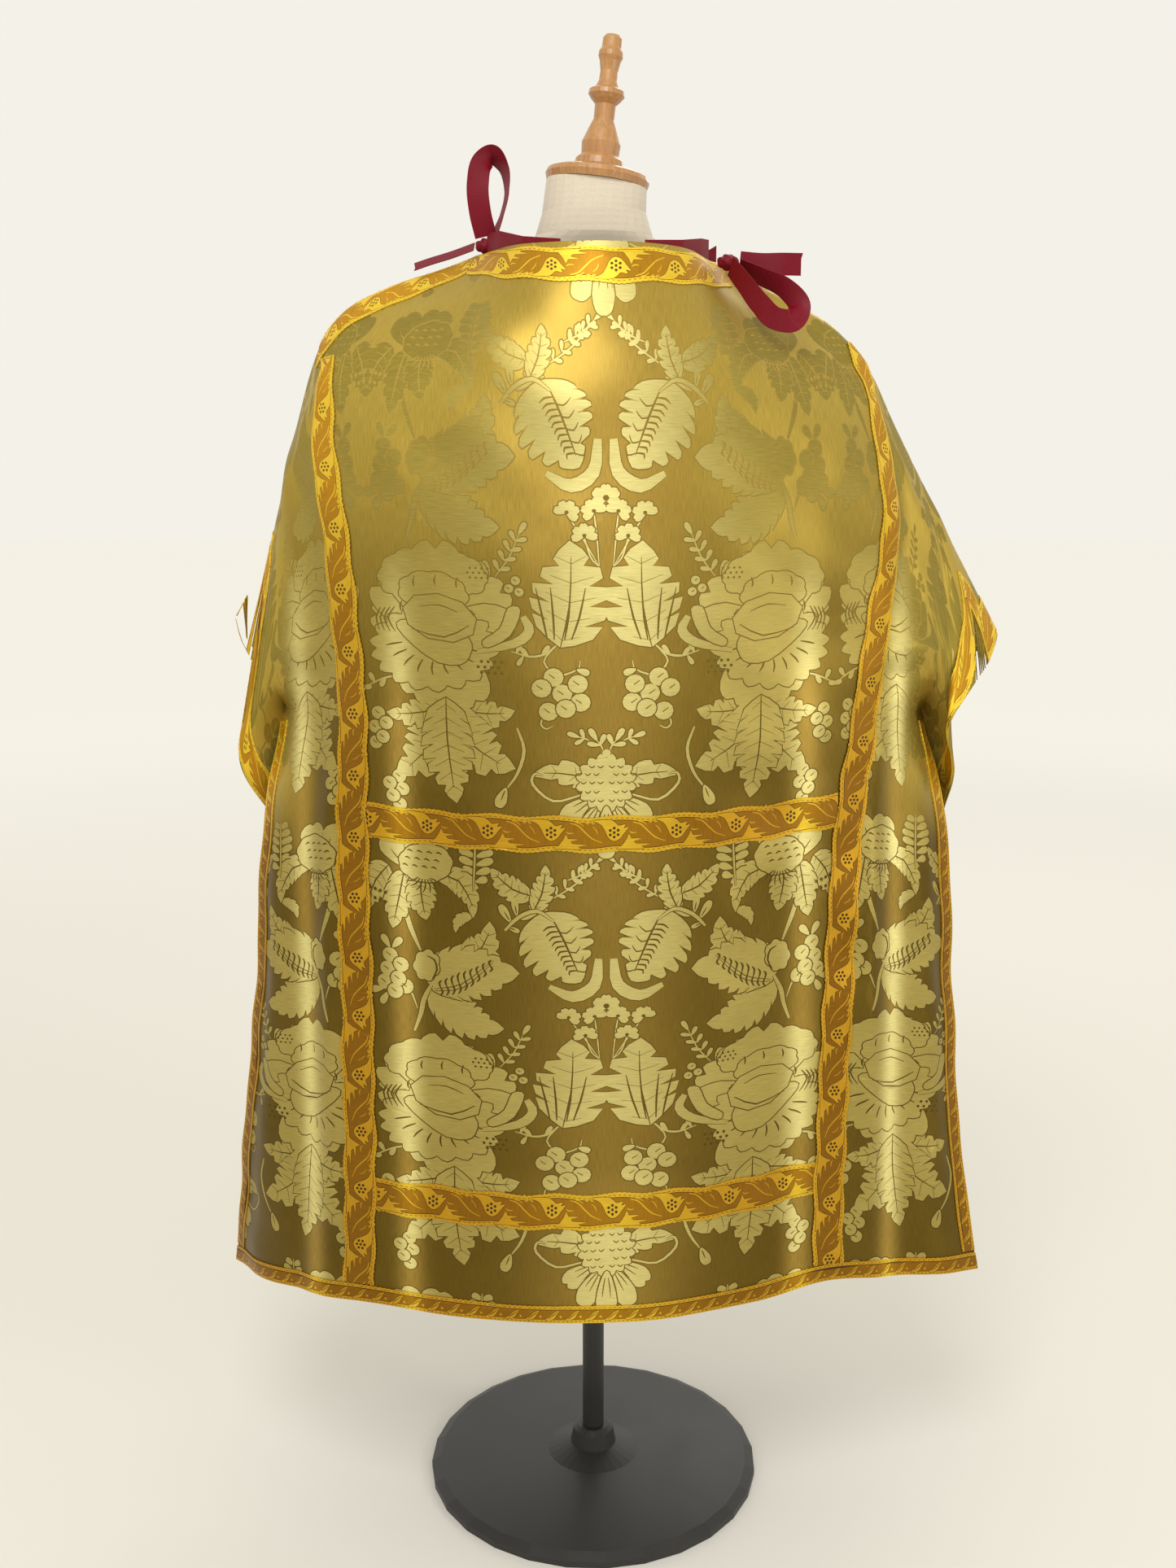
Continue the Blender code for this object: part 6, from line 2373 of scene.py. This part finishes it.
class Garment:
    """The damask panels and side pieces, and the braids sewn on them."""

    # Spacing of the damask's plain triangles.
    STEP = 0.0106
    # Bands lie over the ends of the cross bars and of the other braids, and the hem over the slits.
    BAND_RISE = 0.0009
    HEM_RISE = 0.0004
    # Row below the neck opening, in which the loom width is read.
    WIDTH_ROW = 2.0
    # How far a bar's ends run under the bands, and the row in which the shoulder strip starts.
    BAR_TUCK = 0.003
    STRIP_ROW = 0.03

    def __init__(self, finishes: Finishes) -> None:
        """Chart the cloths.

        Args:
            finishes: the materials.
        """
        self.finishes = finishes
        self.damask = Damask()
        self.wide = BraidChart(Braid.WIDE)
        self.narrow = BraidChart(Braid.NARROW)

    def dressed(self, thing: bpy.types.Object) -> bpy.types.Object:
        """Set a piece on the body in place of its CAD node.

        Args:
            thing: the piece.

        Returns:
            The piece.
        """
        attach(thing, "root")
        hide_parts(thing.name.removeprefix(SEWN))
        return thing

    def sewn(
        self, thing: bpy.types.Object, width: float, length: float,
    ) -> float:
        """Measure a sheet's area, no more than the size it was cut to.

        Args:
            thing: the piece. width, length: its cut in metres.

        Returns:
            The flat area in square metres, which is less than a rectangle where the cut slants.
        """
        corners = np.empty(len(thing.data.vertices) * 3)
        thing.data.vertices.foreach_get("co", corners)
        corners = corners.reshape(-1, 3)
        faces = np.array([p.vertices[:] for p in thing.data.polygons])
        a, b, c = (corners[faces[:, k]] for k in range(3))
        # Half of each triangle's cross product, and half again for the two faces of the cloth.
        area = float(np.linalg.norm(np.cross(b - a, c - a), axis=1).sum() / 4)
        flat = (float(width), float(length))
        area = min(area, flat[0] * flat[1])
        return area

    def creases(self, surface: Surface, corners: list) -> list[Array]:
        """Lines that the cloth's triangles follow where it bends sharply.

        Args:
            surface: of the sheet. corners: (column, row) of each line's ends.

        Returns:
            Open lines in flat coordinates.
        """
        return [self.along(surface, a, b) for a, b in corners]

    def along(self, surface: Surface, start: tuple, end: tuple) -> Array:
        """A straight line of the net in flat coordinates, with both ends."""
        return np.vstack([surface.line(start, end), surface.flat(np.array([end[0]]), np.array([end[1]]))])

    def panels(self, surface: Surface) -> None:
        """Make the centre panel and two side pieces of one sheet.

        Args:
            surface: of the sheet.
        """
        face = surface.face
        seam, slit, cuff = BAND_COLUMN, SLIT_COLUMN, CUFF_COLUMN
        spans = {f"{face}_panel": [(-seam, RIDGE_ROW), (-seam, HEM_ROW), (seam, HEM_ROW), (seam, RIDGE_ROW)]}
        for side, sign in (("left", -1), ("right", 1)):
            spans[f"side_{face}_{side}"] = [
                (sign * seam, RIDGE_ROW), (sign * cuff, RIDGE_ROW), (sign * cuff, UNDERARM_ROW),
                (sign * slit, UNDERARM_ROW), (sign * slit, HEM_ROW), (sign * seam, HEM_ROW),
            ]
        for name, corners in spans.items():
            outline = surface.outline(corners)
            low, high = outline.min(axis=0), outline.max(axis=0)
            top = RIDGE_ROW + surface.STEP
            if "panel" in name:
                lines = [((sign * NECK_COLUMN, top), (sign * NECK_COLUMN, CREASE_ROWS)) for sign in (-1, 1)]
            else:
                sign = -1 if name.endswith("left") else 1
                lines = [((sign * slit, top), (sign * slit, UNDERARM_ROW - surface.STEP))]
            cloth = Cloth(
                name, outline, self.damask.over(low, high), self.creases(surface, lines), surface.place,
                0.0, WALL, self.STEP, self.finishes.damask, surface.front,
            )
            thing = self.dressed(cloth.build())
            width, length = high - low
            if "panel" in name:
                # The ridge line runs round the neck opening, so the loom width is read below it.
                ends = surface.flat(np.array([-seam, seam]), np.array([self.WIDTH_ROW] * 2))
                width = ends[1, 0] - ends[0, 0]
            area = self.sewn(thing, width, length)
            count = len(thing.data.polygons)
            LOG.info("%s: %d triangles, flat %.3f x %.3f m, %.3f m2", name, count, width, length, area)

    def reach(self, surface: Surface, row: float, column: float, distance: float) -> float:
        """Column that lies some way along a row from another.

        Args:
            surface: of the sheet. row: which. column: where from. distance: metres along the row.

        Returns:
            The column.
        """
        columns = surface.columns
        last = CUFF_COLUMN if row <= UNDERARM_ROW else SLIT_COLUMN
        row_flat = surface.flat(columns, np.full(len(columns), row))[:, 0]
        good = ~np.isnan(row_flat) & (np.abs(columns) <= last)
        here = surface.flat(np.array([column]), np.array([row]))[0, 0]
        return float(np.interp(here + distance, row_flat[good], columns[good]))

    def laid(self, surface: Surface) -> list[Galloon]:
        """Every braid of one sheet, where it lies.

        Args:
            surface: of the sheet.

        Returns:
            The braids.
        """
        face = surface.face
        # The one shoulder whose strip lies on this sheet; its band starts below the strip.
        strip = 1 if surface.front else -1
        half, narrow_half = WIDE_GALLOON / 2, NARROW_GALLOON / 2
        last_tenth = surface.flat(np.array([0.0, 0.0]), np.array([HEM_ROW, HEM_ROW - 0.1]))
        hem_top = HEM_ROW - NARROW_GALLOON / float(np.linalg.norm(last_tenth[0] - last_tenth[1])) * 0.1
        made = []

        def lay(
            name: str, start: tuple, end: tuple, across: tuple, middle: float, chart: BraidChart,
            low: float = Galloon.low,
        ) -> None:
            """Lay one braid.

            Args:
                name: its name. start, end: (column, row) of its line's ends. across, middle,
                chart, low: as for Galloon.
            """
            made.append(Galloon(name, surface, self.along(surface, start, end), across, middle, chart, low))

        for side, sign in (("left", -1), ("right", 1)):
            band, cuff, slit = sign * BAND_COLUMN, sign * CUFF_COLUMN, sign * SLIT_COLUMN
            top = YOKE_ROW if sign == strip else RIDGE_ROW
            lay(f"band_{face}_{side}", (band, top), (band, hem_top), (1, 0), 0.0, self.wide, self.BAND_RISE)
            inward = (-sign, 0)
            lay(
                f"cuff_galloon_{face}_{side}", (cuff, RIDGE_ROW), (cuff, UNDERARM_ROW), inward, half,
                self.wide,
            )
            lay(
                f"slit_galloon_{face}_{side}", (slit, SLIT_TRIM_ROW), (slit, hem_top), inward, narrow_half,
                self.narrow,
            )
        for name, row in (("upper", UPPER_BAR_ROW), ("lower", LOWER_BAR_ROW)):
            inner = half - self.BAR_TUCK
            left, right = (self.reach(surface, row, sign * BAND_COLUMN, -sign * inner) for sign in (-1, 1))
            lay(f"bar_{face}_{name}", (left, row), (right, row), (0, 1), 0.0, self.wide)
        lay(
            f"hem_galloon_{face}", (-SLIT_COLUMN, HEM_ROW), (SLIT_COLUMN, HEM_ROW), (0, 1), narrow_half,
            self.narrow, self.HEM_RISE,
        )
        lay(
            f"neck_galloon_{face}", (-NECK_COLUMN, NECK_SLIVER), (NECK_COLUMN, NECK_SLIVER), (0, -1), half,
            self.wide,
        )
        side = "right" if surface.front else "left"
        outer = self.reach(surface, RIDGE_ROW, strip * BAND_COLUMN, strip * half)
        start, end = (strip * NECK_COLUMN, self.STRIP_ROW), (outer, self.STRIP_ROW)
        lay(f"shoulder_galloon_{side}", start, end, (0, -1), half, self.wide)
        return made

    def braids(self, surface: Surface) -> None:
        """Make every braid of one sheet and the stitches that hold them.

        Args:
            surface: of the sheet.
        """
        face = surface.face
        made = self.laid(surface)
        for galloon in made:
            thing = self.dressed(galloon.build(self.finishes.braid))
            self.sewn(thing, galloon.chart.braid.value, galloon.length)
            count = len(thing.data.polygons)
            LOG.info("%s: %d triangles, %.3f m long", galloon.name, count, galloon.length)
        stitches = Stitching(f"stitches_{face}", self.finishes.thread).build(made)
        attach(stitches, "root")
        LOG.info("%s: %d triangles", stitches.name, len(stitches.data.polygons))

    def build(self) -> None:
        """Make both sheets, their braids and the ties."""
        ribbon = Ribbon(self.finishes.ribbon)
        for sheet in Sheet:
            surface = Surface(sheet)
            self.panels(surface)
            self.braids(surface)
            for side, sign in (("left", -1), ("right", 1)):
                name = f"tie_strand_{sheet.value}_{side}"
                thing = self.dressed(ribbon.strand(name, surface, sign))
                flat = (RIBBON_WIDTH, length_of(thing))
        for name in TIE_PATHS:
            thing = self.dressed(ribbon.path(name))
            flat = (RIBBON_WIDTH, length_of(thing))
        for name in TIE_KNOTS:
            self.dressed(ribbon.knot(name))


def length_of(ribbon: bpy.types.Object) -> float:
    """Length of a ribbon from its map.

    Args:
        ribbon: its object.

    Returns:
        Metres.
    """
    layer = ribbon.data.uv_layers["cloth"].data
    flat = np.empty(len(layer) * 2, np.float32)
    layer.foreach_get("uv", flat)
    return float(flat[1::2].max())


class Form:
    """The dress form that the cloth hangs on. Its solids are already as they should look."""

    def __init__(self, finishes: Finishes) -> None:
        """Choose the material of each solid.

        Args:
            finishes: the materials.
        """
        self.finish_of = {
            "form_torso": finishes.linen, "form_neck_cap": finishes.oak, "form_finial": finishes.oak,
            "form_pole": finishes.enamel, "form_base": finishes.enamel,
        }

    def build(self) -> None:
        """Dress the form's own solids with their materials."""
        for name, material in self.finish_of.items():
            for slot in bpy.data.objects[name].material_slots:
                slot.material = material
            LOG.info("%s dressed", name)


def main() -> None:
    """Build the studio, the form and the garment in order."""
    logging.basicConfig(level=logging.INFO, format="%(name)s: %(message)s")
    finishes = Finishes()
    studio = Studio()
    studio.camera()
    studio.floor()
    studio.lights()
    Form(finishes).build()
    Garment(finishes).build()


if __name__ == "__main__":
    main()
